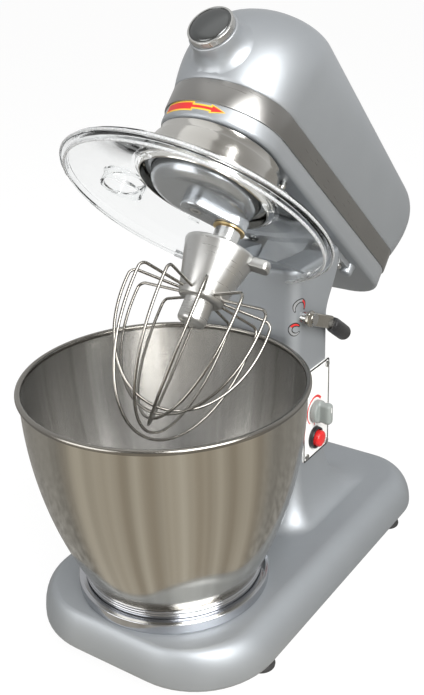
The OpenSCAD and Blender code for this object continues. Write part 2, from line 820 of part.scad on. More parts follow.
module ring_gear() color("DarkGray")
    head_place() translate([0, 0, ring_gear_z]) rotate(planet_angle) linear_extrude(ring_gear_height - seam)
        difference() {
            pitch = ring_teeth * planet_module / 2;
            circle(r = pitch + ring_gear_rim);
            gear_outline(
                ring_teeth, planet_module, pitch + 1.25 * planet_module, pitch - 0.8 * planet_module, -0.12
            );
        }

module collar() color("Gainsboro")
    head_place() rotate_extrude() polygon(let (w = collar_wall, r = collar_radius, f = collar_flare) [
        [r - w, collar_top], [r, collar_top], [r, collar_top - collar_step],
        [r + 2.5, collar_top - collar_step - 2],
        [r + f, collar_bottom + 7], [r + f, collar_bottom], [r + f - w, collar_bottom],
        [r + f - w, collar_bottom + 6.6], [r + 2.5 - w, collar_top - collar_step - 2.4],
        [r - w, collar_top - collar_step - 0.6]
    ]);

module planet_hub() color("LightGray")
    head_place() rotate(planet_angle) difference() {
        union() {
            rotate_extrude() polygon(concat(
                [[0, hub_bottom]],
                arc([hub_radius - hub_round, hub_bottom + hub_round], hub_round, -90, 0, 6),
                [[hub_radius, hub_top], [0, hub_top]]
            ));
            // bar across the bottom, from the middle to the beater's shaft
            translate([0, -boss_half_width, hub_bottom - boss_drop])
                cube([eccentricity, 2 * boss_half_width, boss_drop + 1]);
            for (x = [0, eccentricity])
                translate([x, 0, hub_bottom - boss_drop]) cylinder(r = boss_half_width, h = boss_drop + 1);
        }
        // the pot is hollow, with a hub round the spindle and a boss round the beater's shaft
        difference() {
            translate([0, 0, hub_bottom + hub_wall + 3]) cylinder(r = hub_radius - hub_wall, h = 60);
            cylinder(r = spindle_radius + 6, h = 500);
            translate([eccentricity, 0, 0]) cylinder(r = bush_outer + 3, h = 500);
        }
        translate([0, 0, hub_bottom + 2]) cylinder(r = spindle_radius + running, h = 60);
        translate([eccentricity, 0, 0]) cylinder(r = bush_outer + running, h = 500);
        // socket of the screw that holds the hub on the spindle
        translate([0, 0, hub_bottom - boss_drop - 1]) cylinder(r = 5.5, h = 5);
        translate([0, 0, hub_bottom - boss_drop]) cylinder(r = 3 + seam, h = 40);
    }

module spindle() color("Silver")
    head_place() translate([0, 0, hub_bottom + 3]) difference() {
        cylinder(r = spindle_radius, h = spindle_top - hub_bottom - 3);
        translate([0, 0, -1]) cylinder(r = 3 + seam, h = 13);
    }

module hub_screw() color("Gray")
    head_place() translate([0, 0, hub_bottom - boss_drop + 4 + seam]) difference() {
        union() {
            translate([0, 0, -4]) cylinder(r = 5, h = 4 - seam);
            translate([0, 0, -1]) cylinder(r = 3, h = 15);
        }
        translate([0, 0, -5]) cylinder(r = 2.6, h = 3, $fn = 6);
    }

module main_gear() color("DarkGray")
    head_place() translate([0, 0, main_gear_z]) rotate(90)
        external_gear(main_teeth, drive_module, gear_height, spindle_radius + running);

module gear_bridge() color("SlateGray")
    head_place() difference() {
        translate([-bridge_half, bridge_front, bridge_z])
            cube([2 * bridge_half, bridge_rear - bridge_front, bridge_thickness]);
        cylinder(r = spindle_radius + running, h = 500);
        translate([0, layshaft_y, 0]) cylinder(r = layshaft_radius + running, h = 500);
        for (p = bridge_places) translate([p[0], p[1], 0]) cylinder(r = 2.5 + seam, h = 500);
    }
module bridge_posts() color("Silver")
    for (p = bridge_places) head_place() {
        foot = max(head_floor(p[1]), collar_top + 10.2) + seam;
        translate([p[0], p[1], foot]) cylinder(r = post_radius, h = bridge_z - foot - seam);
        translate([p[0], p[1], foot]) cylinder(r = 2.5, h = bridge_z - foot + bridge_thickness + 1);
    }

module layshaft() color("Silver")
    head_place() translate([0, layshaft_y, head_under + 3])
        cylinder(r = layshaft_radius, h = pulley_z + pulley_height - head_under - 1);

module layshaft_pinion() color("DarkGray")
    head_place() translate([0, layshaft_y, main_gear_z]) rotate(90)
        external_gear(pinion_teeth, drive_module, gear_height, layshaft_radius + running);

module pulley(radius, bore) {
    difference() {
        rotate_extrude() polygon([
            [0, 0], [radius + 2, 0], [radius + 2, 1], [radius, 1.5], [radius, pulley_height - 1.5],
            [radius + 2, pulley_height - 1], [radius + 2, pulley_height], [0, pulley_height]
        ]);
        translate([0, 0, -1]) cylinder(r = bore + running, h = 40);
    }
}

module large_belt_pulley() color("Gray")
    head_place() translate([0, layshaft_y, pulley_z]) difference() {
        pulley(large_pulley, layshaft_radius);
        for (a = [0 : 60 : 300]) rotate(a) translate([large_pulley * 0.6, 0, -1]) cylinder(r = 5.5, h = 40);
    }

// the belt's outline round both pulleys, from its two tangent lines
module belt_outline(extra) {
    span = motor_y - layshaft_y;
    a = asin((large_pulley - small_pulley) / span);
    big = large_pulley + extra;
    small = small_pulley + extra;
    circle(r = big);
    translate([0, span]) circle(r = small);
    polygon([
        big * [cos(a), sin(a)], [0, span] + small * [cos(a), sin(a)],
        [0, span] + small * [-cos(a), sin(a)], big * [-cos(a), sin(a)]
    ]);
}
module drive_belt() color("Black")
    head_place() translate([0, layshaft_y, pulley_z + 2.2]) linear_extrude(pulley_height - 4.4)
        difference() {
            belt_outline(free + belt_thickness);
            belt_outline(free);
        }

// a wedge that levels the motor on the sloping floor of the lower casting
module motor_foot() color("SlateGray")
    head_place() difference() {
        translate([-28, 0, 0]) rotate([90, 0, 90]) linear_extrude(56) polygon([
            [motor_y - motor_radius + 8, head_floor(motor_y - motor_radius + 8) + seam],
            [motor_y + motor_radius - 8, head_floor(motor_y + motor_radius - 8) + seam],
            [motor_y + motor_radius - 8, motor_floor - seam], [motor_y - motor_radius + 8, motor_floor - seam]
        ]);
        translate([0, motor_y, 0]) cylinder(r = 12, h = 500);
    }

module motor_case() color("Gray")
    head_place() translate([0, motor_y, motor_floor]) difference() {
        cylinder(r = motor_radius, h = motor_top - motor_floor - 4);
        translate([0, 0, 4]) cylinder(r = motor_radius - motor_wall, h = 200);
        translate([0, 0, -1]) cylinder(r = motor_shaft + running, h = 20);
        for (a = [0 : 45 : 315]) rotate(a) translate([0, -4, 12]) cube([60, 8, 6]);
    }

module motor_lid() color("Gray")
    head_place() translate([0, motor_y, motor_top - 4 + seam]) difference() {
        cylinder(r = motor_radius, h = 4 - seam);
        translate([0, 0, -1]) cylinder(r = motor_shaft + running, h = 20);
    }

module motor_stator() color("SandyBrown")
    head_place() translate([0, motor_y, motor_floor + 8])
        ring(motor_radius - 13, motor_radius - motor_wall - seam, motor_top - motor_floor - 20);

module rotor() color("Peru")
    head_place() translate([0, motor_y, 0]) {
        translate([0, 0, motor_floor + 0.5])
            cylinder(r = motor_shaft, h = pulley_z + pulley_height + 2 - motor_floor - 0.5);
        translate([0, 0, motor_floor + 10])
            cylinder(r = motor_radius - 14.5, h = motor_top - motor_floor - 24);
    }

module motor_pulley() color("Gray")
    head_place() translate([0, motor_y, pulley_z]) pulley(small_pulley, motor_shaft);

// Beater

module agitator_shaft() color("Silver")
    beater_place() difference() {
        union() {
            translate([0, 0, shaft_low]) cylinder(r = shaft_lower, h = shaft_step - shaft_low);
            translate([0, 0, shaft_step - 1])
                cylinder(r = shaft_upper, h = ring_gear_z + ring_gear_height - shaft_step);
        }
        translate([-40, 0, pin_z]) rotate([0, 90, 0]) cylinder(r = pin_radius + seam, h = 80);
    }
module drive_pin() color("Gray")
    beater_place() translate([-16, 0, pin_z]) rotate([0, 90, 0]) cylinder(r = pin_radius, h = 32);

module planet_bushes() color("DarkGoldenrod")
    for (z = [hub_bottom - boss_drop + 0.4, hub_top - 11]) beater_place() translate([0, 0, z])
        ring(shaft_upper + running, bush_outer, 10);

module thrust_washer() color("Goldenrod")
    beater_place() translate([0, 0, shaft_step + 0.1]) ring(shaft_upper + running, bush_outer + 2, 1.1);

module planet_pinion() color("DarkGray")
    beater_place() translate([0, 0, ring_gear_z + 0.4])
        external_gear(planet_teeth, planet_module, ring_gear_height - 1.2, shaft_upper + running);

module whisk_hub() color("LightGray")
    beater_place() difference() {
        rotate_extrude() polygon(concat(
            [[0, whisk_nub_low]],
            arc([7.5, whisk_nub_low + 4], 4, -90, 0, 4),
            [[11.5, whisk_hub_low]],
            arc([15, whisk_hub_low + 3], 3, -90, -15, 3),
            [[whisk_hub_radius, whisk_top - 1], [whisk_hub_radius - 1, whisk_top], [0, whisk_top]]
        ));
        translate([0, 0, shaft_low - 1]) cylinder(r = shaft_lower + running, h = 60);
        for (a = wire_angles, turn = [0, 180]) rotate(a + turn) translate([0, 0, leg_z]) rotate([0, 90, 0])
            translate([0, 0, wire_start - 1]) cylinder(r = wire_radius + seam, h = 30, $fn = 24);
        // groove for the latch
        rotate(latch_angle) translate([shaft_lower + 2, -latch_half - seam, latch_low - 0.2])
            cube([40, 2 * latch_half + 2 * seam, latch_height + 5]);
    }

module whisk_latch() color("Silver")
    beater_place() rotate(latch_angle) {
        translate([shaft_lower + 3, -latch_half, latch_low])
            cube([latch_length, 2 * latch_half, latch_height]);
        translate([shaft_lower + 3 + latch_length, 0, latch_low]) cylinder(r = latch_half, h = latch_height);
    }

// Each wire loop runs out of the hub, over a shoulder, down, round under the hub and up the other side.
function wire_half(tip) = concat(
    [[wire_start, leg_z]],
    arc([whisk_radius - shoulder, leg_z - shoulder], shoulder, 90, 15, 4),
    [for (i = [0 : 15]) let (a = 90 * i / 16)
        let (start = leg_z - shoulder - 3)
            [whisk_radius * pow(cos(a), fullness), start - (start - tip) * pow(sin(a), droop)]]
);
module wire(path) {
    n = len(path);
    rings = [
        for (i = [0 : n - 1])
            let (
                ahead = path[min(i + 1, n - 1)] - path[max(i - 1, 0)],
                along = ahead / norm(ahead),
                across = [along[1], -along[0]]
            )
            [for (k = [0 : wire_sides - 1])
                let (t = 360 * k / wire_sides, s = wire_radius * sin(t), c = wire_radius * cos(t))
                [path[i][0] + across[0] * c, s, path[i][1] + across[1] * c]]
    ];
    loft(rings);
}
module whisk_wires() color("Gainsboro")
    beater_place() for (i = [0 : wire_loops - 1]) rotate(wire_angles[i]) {
        tip = whisk_tip_z + i * wire_stagger;
        half = wire_half(tip);
        wire(concat(half, [[0, tip]], [for (k = [len(half) - 1 : -1 : 0]) [-half[k][0], half[k][1]]]));
    }

// Guard over the bowl

module splash_guard() color([0.9, 0.95, 1, 0.4])
    head_place() difference() {
        union() {
            rotate_extrude($fn = 96) polygon([
                [guard_inner_r, guard_inner_z + 4], [guard_inner_r, guard_inner_z - 3],
                [guard_inner_r + 3, guard_inner_z - 3], [guard_rim_r - 6, guard_rim_z + 3],
                [guard_rim_r - 6, guard_rim_z - 3], [guard_rim_r - 4, guard_rim_z - 3],
                [guard_rim_r - 4, guard_rim_z], [guard_rim_r, guard_rim_z], [guard_rim_r, guard_rim_z + 4.4],
                [guard_rim_r - 4, guard_rim_z + 5.4], [guard_inner_r + guard_wall, guard_inner_z + 0.4],
                [guard_inner_r + guard_wall, guard_inner_z + 4]
            ]);
            translate([chute_at[0], chute_at[1], guard_rim_z + 6]) cylinder(r = chute_radius, h = chute_height);
        }
        translate([chute_at[0], chute_at[1], guard_rim_z - 20])
            cylinder(r = chute_radius - guard_wall, h = 90);
        // cut back at the rear, clear of the column
        translate([-150, guard_cut, guard_rim_z - 50]) cube([300, 100, 100]);
    }

module guard_clips() color("Silver")
    for (a = [5, 125, 245]) head_place() rotate(a)
        translate([collar_radius + collar_flare + seam, -5, guard_inner_z - 3.4 - 2]) cube([6, 10, 1.6]);

base_casting();
bottom_cover();
feet();
foot_screws();
seat_ring();
seat_screws();
bowl();
bowl_foot_ring();
control_plate();
plate_screws();
speed_knob();
speed_control();
stop_button();
button_bezel();
switch_block();
cord_gland();
hinge_pin();
lock_shaft();
lever_arm();
lever_grip();
lower_casting();
top_cover();
trim_band();
guard_pin();
hinge_bracket();
bracket_screws();
hub_sleeve();
hub_cap();
planet_housing();
collar();
ring_gear();
spindle_bearings();
planet_hub();
hub_screw();
spindle();
main_gear();
gear_bridge();
bridge_posts();
layshaft();
layshaft_pinion();
large_belt_pulley();
drive_belt();
motor_foot();
motor_case();
motor_stator();
motor_lid();
rotor();
motor_pulley();
agitator_shaft();
planet_pinion();
planet_bushes();
thrust_washer();
drive_pin();
whisk_hub();
whisk_latch();
whisk_wires();
splash_guard();
guard_clips();
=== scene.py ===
"""Looks of a bench mixer with a raised tilting head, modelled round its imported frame."""

import logging
import math
from dataclasses import dataclass, replace
from enum import Enum
from typing import Iterable, Sequence

import bmesh
import bpy
from mathutils import Matrix, Vector


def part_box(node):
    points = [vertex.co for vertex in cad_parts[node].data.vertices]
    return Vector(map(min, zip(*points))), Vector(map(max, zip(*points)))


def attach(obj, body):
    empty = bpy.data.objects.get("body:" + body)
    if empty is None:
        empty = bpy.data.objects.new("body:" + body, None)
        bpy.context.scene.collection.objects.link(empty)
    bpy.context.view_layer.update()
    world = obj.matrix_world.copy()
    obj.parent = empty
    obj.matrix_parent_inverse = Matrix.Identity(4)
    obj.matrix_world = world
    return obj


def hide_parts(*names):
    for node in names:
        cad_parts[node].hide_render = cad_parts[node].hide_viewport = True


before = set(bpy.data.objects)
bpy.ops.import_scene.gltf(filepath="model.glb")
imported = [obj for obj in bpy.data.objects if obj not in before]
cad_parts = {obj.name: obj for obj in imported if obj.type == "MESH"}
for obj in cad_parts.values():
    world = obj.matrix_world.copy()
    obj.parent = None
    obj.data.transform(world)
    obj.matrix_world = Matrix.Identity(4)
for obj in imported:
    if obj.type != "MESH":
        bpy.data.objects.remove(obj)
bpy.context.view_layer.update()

LOG = logging.getLogger("mixer")

Node = bpy.types.Node
Piece = bpy.types.Object
Socket = bpy.types.NodeSocket
Colour = tuple[float, float, float]
Spot = tuple[float, float, float]
Ring = list[Spot]
Profile = list[tuple[float, float]]
Span = tuple[float, float]
Input = Socket | float | Sequence[float]
Inputs = dict[str | int, Input]

# All sizes are in millimetres, with the bowl's axis at x 0, y 0, until a piece is put in its place.
MM = 0.001
MERGE = 1e-7
SETBACK = 126.5
TILT = 44.0
HINGE_Y = 164.0
HINGE_Z = 243.0
COLUMN_HALF = 51.0
COLUMN_FRONT = 117.0
COLUMN_CORNER = 12.0
NOSE_ROUND = 0.985
PLANET_ANGLE = 47.0
ECCENTRICITY = 30.0
HUB_FRONT = 68.0
HUB_HEIGHT = 365.0
HUB_PITCH = 6.0
SEAM = 0.15
BUTTON_Y = 148.0
BUTTON_Z = 134.0
BEZEL_RADIUS = 10.0
LOCK_ANGLES = (70.0, 190.0, 310.0)


def shift(x: float, y: float, z: float) -> Matrix:
    """A move by millimetres."""
    return Matrix.Translation(Vector((x, y, z)) * MM)


def turned(degrees: float, axis: str) -> Matrix:
    """A turn about a main axis."""
    return Matrix.Rotation(math.radians(degrees), 4, axis)


STAND = shift(0, -SETBACK, 0)
HEAD = STAND @ shift(0, HINGE_Y, HINGE_Z) @ turned(-TILT, "X") @ shift(0, -HINGE_Y, -HINGE_Z)
PLANET = HEAD @ turned(PLANET_ANGLE, "Z")
BEATER = PLANET @ shift(ECCENTRICITY, 0, 0)
ACCESSORY = HEAD @ shift(0, -HUB_FRONT, HUB_HEIGHT) @ turned(90 - HUB_PITCH, "X")


def panel(y: float, z: float, out: float = 0.0) -> Matrix:
    """A place on the panel side of the column, with local Z pointing out of it."""
    return STAND @ shift(COLUMN_HALF + out, y, z) @ turned(90, "Y")


def cosd(degrees: float) -> float:
    """Cosine of an angle in degrees."""
    return math.cos(math.radians(degrees))


def sind(degrees: float) -> float:
    """Sine of an angle in degrees."""
    return math.sin(math.radians(degrees))


def arc(centre: tuple[float, float], radius: float, start: float, end: float, steps: int) -> Profile:
    """Points along an arc.

    Args:
        centre: middle of the arc.
        radius: radius of the arc.
        start: first angle in degrees.
        end: last angle in degrees.
        steps: number of parts that the arc is cut into.

    Returns:
        The points, both ends included.
    """
    angles = [math.radians(start + (end - start) * i / steps) for i in range(steps + 1)]
    return [(centre[0] + radius * math.cos(a), centre[1] + radius * math.sin(a)) for a in angles]


def near(r: float, z: float, *offsets: Span) -> Profile:
    """Points of a profile, given from one corner of it."""
    return [(r + out, z + up) for out, up in offsets]


def outline(
    half: float, front: float, rear: float, front_r: float, rear_r: float, z: float,
    slope: float = 0.0, steps: int = 16,
) -> Ring:
    """A level or sloping outline with four rounded corners.

    Args:
        half: half the width.
        front: y of the front edge.
        rear: y of the rear edge.
        front_r: radius of the front corners.
        rear_r: radius of the rear corners.
        z: height where y is 0.
        slope: rise for each millimetre towards the rear.
        steps: parts in each corner.

    Returns:
        One ring of points.
    """
    flat = arc((half - front_r, front + front_r), front_r, -90, 0, steps)
    flat += arc((half - rear_r, rear - rear_r), rear_r, 0, 90, steps)
    flat += arc((rear_r - half, rear - rear_r), rear_r, 90, 180, steps)
    flat += arc((front_r - half, front + front_r), front_r, 180, 270, steps)
    return [(x, y, z + slope * y) for x, y in flat]


class Mark(Enum):
    """What the fine texture of a finish looks like, or the painted reflection streaks of the bowl's steel.
    """

    SPECKLE = "speckle"
    BRUSHED = "brushed"
    # This mark paints light and dark reflection streaks round the bowl's axis into the colour.
    STREAKED = "streaked"
    CAST = "cast"
    MOULDED = "moulded"


@dataclass
class Graph:
    """The shader nodes of one material or world."""

    tree: bpy.types.NodeTree

    def add(self, kind: str, takes: Inputs | None = None, **settings: str | bool) -> Node:
        """Add a node.

        Args:
            kind: the node's type after its common first word.
            takes: a socket or a constant for each input that is set.
            settings: the node's own properties.

        Returns:
            The new node.
        """
        made = self.tree.nodes.new(f"ShaderNode{kind}")
        for name, value in settings.items():
            setattr(made, name, value)
        for name, value in (takes or {}).items():
            self.feed(made, name, value)
        return made

    def feed(self, node: Node, name: str | int, value: Input) -> None:
        """Link a socket to an input of a node, or set a constant there.

        Args:
            node: the node that takes the value.
            name: name or number of its input.
            value: the socket or the constant.
        """
        if isinstance(value, Socket):
            self.tree.links.new(value, node.inputs[name])
        else:
            node.inputs[name].default_value = value

    def mixed(self, factor: Socket, first: Socket | Colour, second: Socket | Colour) -> Socket:
        """Mix two colours.

        Args:
            factor: how much of the second colour shows.
            first: a socket or a constant.
            second: a socket or a constant.

        Returns:
            The mixed colour.
        """
        tones = [tone if isinstance(tone, Socket) else (*tone, 1.0) for tone in (first, second)]
        takes = {"Factor": factor, "A": tones[0], "B": tones[1]}
        return self.add("Mix", takes, data_type="RGBA").outputs["Result"]

    def ranged(self, value: Socket, span: Span, onto: Span = (0.0, 1.0)) -> Socket:
        """Map a value from one span onto another."""
        limits = dict(zip(("From Min", "From Max", "To Min", "To Max"), (*span, *onto)))
        return self.add("MapRange", {"Value": value, **limits}).outputs["Result"]

    def noise(self, place: Socket, scale: float, detail: float = 2.0) -> Socket:
        """A noise of so many spots in a metre, with layers of finer detail."""
        return self.add("TexNoise", {"Vector": place, "Scale": scale, "Detail": detail}).outputs["Fac"]

    def worked(self, operation: str, first: Socket, second: Socket | float) -> Socket:
        """Work out a value between 0 and 1 from two others."""
        return self.add("Math", {0: first, 1: second}, operation=operation, use_clamp=True).outputs[0]

    def vector(self, operation: str, *takes: Socket | Spot) -> Node:
        """Work out a vector, or a value, from one or two vectors."""
        return self.add("VectorMath", dict(enumerate(takes)), operation=operation)

    def blended(self, factor: Socket, first: Node, second: Node) -> Node:
        """Blend two shaders."""
        return self.add("MixShader", {"Fac": factor, 1: first.outputs[0], 2: second.outputs[0]})

    def round_axis(self, place: Socket) -> Socket:
        """Turn places into directions round the bowl's axis.

        Args:
            place: coordinates in metres.

        Returns:
            A level vector of length 1.
        """
        away = self.vector("SUBTRACT", place, (0.0, -SETBACK * MM, 0.0))
        level = self.vector("MULTIPLY", away.outputs[0], (1.0, 1.0, 0.0))
        return self.vector("NORMALIZE", level.outputs[0]).outputs[0]


CONTRAST = (0.36, 0.64)
WORN = (0.52, 0.62)
WORN_EDGE = (0.62, 0.62, 0.62)
COAT_ROUGHNESS = 0.12
BRUSH_STRETCH = (0.03, 0.03, 1.0)


@dataclass(frozen=True)
class Finish:
    """A procedural finish.

    Colours are linear, patch and grain are counts per metre, depth is the bump in metres.
    """

    name: str
    slot: str
    colour: Colour
    shade: Colour
    metallic: float = 0.0
    roughness: float = 0.4
    vary: float = 0.06
    patch: float = 22.0
    grain: float = 1500.0
    mark: Mark = Mark.SPECKLE
    depth: float = 0.000004
    coat: float = 0.0
    clear: float = 0.0
    ior: float = 1.28
    tilt: float = 0.0
    wear: float = 0.0

    def material(self) -> bpy.types.Material:
        """Build the material once.

        Returns:
            The material of this finish.
        """
        made = bpy.data.materials.get(self.name)
        if made:
            return made
        made = bpy.data.materials.new(self.name)
        made.use_nodes = True
        made.diffuse_color = (*self.colour, 1.0)
        graph = Graph(made.node_tree)
        place = self._place(graph)
        takes = {"Base Color": self._tint(graph, place), **self._gloss(graph, place)}
        takes |= {"Metallic": self.metallic, "Coat Weight": self.coat, "Coat Roughness": COAT_ROUGHNESS}
        if self.clear:
            takes |= {"Transmission Weight": self.clear, "IOR": self.ior}
        for name, value in takes.items():
            graph.feed(made.node_tree.nodes["Principled BSDF"], name, value)
        return made

    def _place(self, graph: Graph) -> Socket:
        """Add the coordinates that the patterns read.

        Args:
            graph: the material's nodes.

        Returns:
            Coordinates turned to the piece's own axis, or directions round the bowl's axis for the painted
            reflection streaks.
        """
        where = graph.add("TexCoord").outputs["Object"]
        if self.mark is Mark.STREAKED:
            return graph.round_axis(where)
        turn = (math.radians(self.tilt), 0, 0)
        return graph.add("Mapping", {"Vector": where, "Rotation": turn}).outputs["Vector"]

    def _tint(self, graph: Graph, place: Socket) -> Socket:
        """Vary the colour in broad patches, sharpened into painted reflection streaks on streaked finishes,
        with paler edges where the finish wears.

        Args:
            graph: the material's nodes.
            place: the coordinates.

        Returns:
            The colour.
        """
        patches = graph.noise(place, self.patch, 3.0)
        # Streaked finishes sharpen the patches into painted reflection streaks.
        if self.mark is Mark.STREAKED:
            patches = graph.ranged(patches, CONTRAST)
        colour = graph.mixed(patches, self.colour, self.shade)
        if self.wear:
            edges = graph.add("NewGeometry").outputs["Pointiness"]
            colour = graph.mixed(graph.ranged(edges, WORN, (0.0, self.wear)), colour, WORN_EDGE)
        return colour

    def _gloss(self, graph: Graph, place: Socket) -> Inputs:
        """Vary the roughness and add the fine relief.

        Args:
            graph: the material's nodes.
            place: the coordinates.

        Returns:
            The shader's roughness and normal.
        """
        if self.mark is Mark.BRUSHED:
            place = graph.add("Mapping", {"Vector": place, "Scale": BRUSH_STRETCH}).outputs["Vector"]
        fine = graph.noise(place, self.grain, 6.0 if self.mark is Mark.CAST else 2.0)
        relief = graph.add("Bump", {"Height": fine, "Strength": 0.5, "Distance": self.depth})
        gloss = (max(self.roughness - self.vary, 0.02), min(self.roughness + self.vary, 1.0))
        return {"Roughness": graph.ranged(fine, (0.0, 1.0), gloss), "Normal": relief.outputs["Normal"]}


SILVER_PAINT = Finish(
    "silver_paint", "paint", (0.37, 0.39, 0.41), (0.33, 0.35, 0.37),
    metallic=0.7, roughness=0.45, grain=2600, depth=0.000012, coat=0.12, wear=0.25,
)
# A darker copy of the silver paint for the base: painted shade. Its higher roughness and thinner coat soften
# the highlights.
SHADED_BASE_PAINT = replace(
    SILVER_PAINT, name="shaded_base_paint", colour=(0.355, 0.375, 0.395), shade=(0.315, 0.335, 0.355),
    roughness=0.52, coat=0.04,
)
POT_PAINT = Finish(
    "pot_paint", "satin", (0.42, 0.44, 0.46), (0.37, 0.39, 0.41),
    metallic=0.75, roughness=0.24, grain=2200, depth=0.000012, coat=0.15,
)
SEAT_STEEL = Finish(
    "seat_steel", "polished", (0.52, 0.53, 0.55), (0.42, 0.43, 0.45),
    metallic=1.0, roughness=0.18, grain=900, mark=Mark.BRUSHED,
)
POLISHED_STEEL = replace(
    SEAT_STEEL, name="polished_steel", colour=(0.52, 0.50, 0.455), shade=(0.45, 0.43, 0.385),
    roughness=0.16, vary=0.05,
)
POLISHED_COLLAR = replace(
    POLISHED_STEEL, name="polished_collar", colour=(0.64, 0.63, 0.60), shade=(0.56, 0.55, 0.52),
    roughness=0.15, tilt=TILT,
)
# The bowl's colour and shade alternate in painted reflection streaks round its axis.
SPUN_INSIDE = Finish(
    "spun_inside", "polished", (0.74, 0.735, 0.72), (0.56, 0.55, 0.53),
    metallic=1.0, roughness=0.24, vary=0.08, patch=4.5, grain=20, mark=Mark.STREAKED, depth=0.000002,
)
# The outside is a darker copy of the inside's steel: painted shade.
SPUN_OUTSIDE = replace(
    SPUN_INSIDE, name="spun_outside", colour=(0.56, 0.54, 0.49), shade=(0.465, 0.445, 0.40),
    roughness=0.14, vary=0.05, patch=6, grain=30,
)
# Dark steel for the cap's face: the colour stands in for the dark surroundings it mirrors, a painted
# reflection.
CAP_FACE_PAINTED_DARK = Finish(
    "cap_face_painted_dark", "polished", (0.155, 0.16, 0.16), (0.12, 0.125, 0.125),
    metallic=0.95, roughness=0.22, depth=0.000006,
)
# Darker than the bright steel: painted shade that tones down the reflections on the wires and the bowl's
# rim.
WIRE_STEEL = Finish(
    "wire_steel", "steel", (0.31, 0.295, 0.27), (0.24, 0.23, 0.21),
    metallic=1.0, roughness=0.22, grain=1800, depth=0.000006,
)
BRIGHT_STEEL = replace(
    WIRE_STEEL, name="bright_steel", colour=(0.62, 0.62, 0.61), shade=(0.52, 0.52, 0.51), roughness=0.2,
)
GEAR_STEEL = Finish(
    "gear_steel", "gear", (0.26, 0.26, 0.27), (0.18, 0.18, 0.19),
    metallic=1.0, roughness=0.36, vary=0.08, grain=1600, depth=0.00001,
)
SATIN_BAND = Finish(
    "satin_band", "satin", (0.34, 0.335, 0.325), (0.28, 0.275, 0.265),
    metallic=0.95, roughness=0.3, grain=1400, mark=Mark.BRUSHED, tilt=TILT,
)
SATIN_ALUMINIUM = Finish(
    "satin_aluminium", "satin", (0.50, 0.50, 0.49), (0.43, 0.43, 0.42),
    metallic=0.9, roughness=0.3, vary=0.08, grain=1200, mark=Mark.BRUSHED, depth=0.00001, tilt=TILT,
)
CAST_ALUMINIUM = Finish(
    "cast_aluminium", "cast", (0.42, 0.42, 0.42), (0.33, 0.33, 0.33),
    metallic=0.8, roughness=0.5, vary=0.1, grain=900, mark=Mark.CAST, depth=0.00005,
)
BRONZE = Finish(
    "bronze", "bronze", (0.52, 0.33, 0.11), (0.42, 0.25, 0.08),
    metallic=1.0, roughness=0.32, vary=0.08, depth=0.00001,
)
COPPER = Finish(
    "copper_winding", "copper", (0.50, 0.22, 0.11), (0.36, 0.14, 0.07),
    metallic=0.9, vary=0.1, grain=1200, mark=Mark.BRUSHED, depth=0.00005,
)
BLACK_RUBBER = Finish(
    "black_rubber", "rubber", (0.018, 0.018, 0.018), (0.03, 0.03, 0.03),
    roughness=0.72, vary=0.1, grain=1400, mark=Mark.CAST, depth=0.00004,
)
BLACK_PLASTIC = Finish(
    "black_plastic", "black", (0.012, 0.012, 0.013), (0.022, 0.022, 0.023),
    roughness=0.3, vary=0.08, grain=1700, mark=Mark.MOULDED, depth=0.00001,
)
GREY_PLASTIC = replace(
    BLACK_PLASTIC, name="grey_plastic", slot="grey", colour=(0.25, 0.27, 0.26), shade=(0.21, 0.23, 0.22),
    roughness=0.42, depth=0.00002,
)
RED_PLASTIC = replace(
    BLACK_PLASTIC, name="red_plastic", slot="red", colour=(0.60, 0.02, 0.02), shade=(0.50, 0.015, 0.015),
    vary=0.06,
)
WHITE_ENAMEL = Finish(
    "white_enamel", "white", (0.80, 0.80, 0.79), (0.75, 0.75, 0.74),
    roughness=0.34, grain=1900, depth=0.000008,
)
RED_PRINT = Finish("red_print", "red", (0.62, 0.02, 0.02), (0.54, 0.02, 0.02), vary=0.05, grain=2000)
YELLOW_PRINT = replace(
    RED_PRINT, name="yellow_print", slot="white", colour=(0.75, 0.48, 0.05), shade=(0.68, 0.42, 0.04),
)
BLACK_PRINT = replace(
    RED_PRINT, name="black_print", slot="black", colour=(0.008, 0.008, 0.008), shade=(0.014, 0.014, 0.014),
    roughness=0.6,
)
CLEAR_GUARD = Finish(
    "clear_guard", "clear", (0.96, 0.97, 0.97), (0.93, 0.94, 0.94),
    roughness=0.05, vary=0.03, grain=700, mark=Mark.MOULDED, clear=1.0, ior=1.24,
)
FROSTED_RIM = Finish(
    "frosted_rim", "clear", (0.74, 0.75, 0.76), (0.66, 0.67, 0.68),
    roughness=0.28, grain=1200, mark=Mark.MOULDED, depth=0.000006, clear=0.5,
)


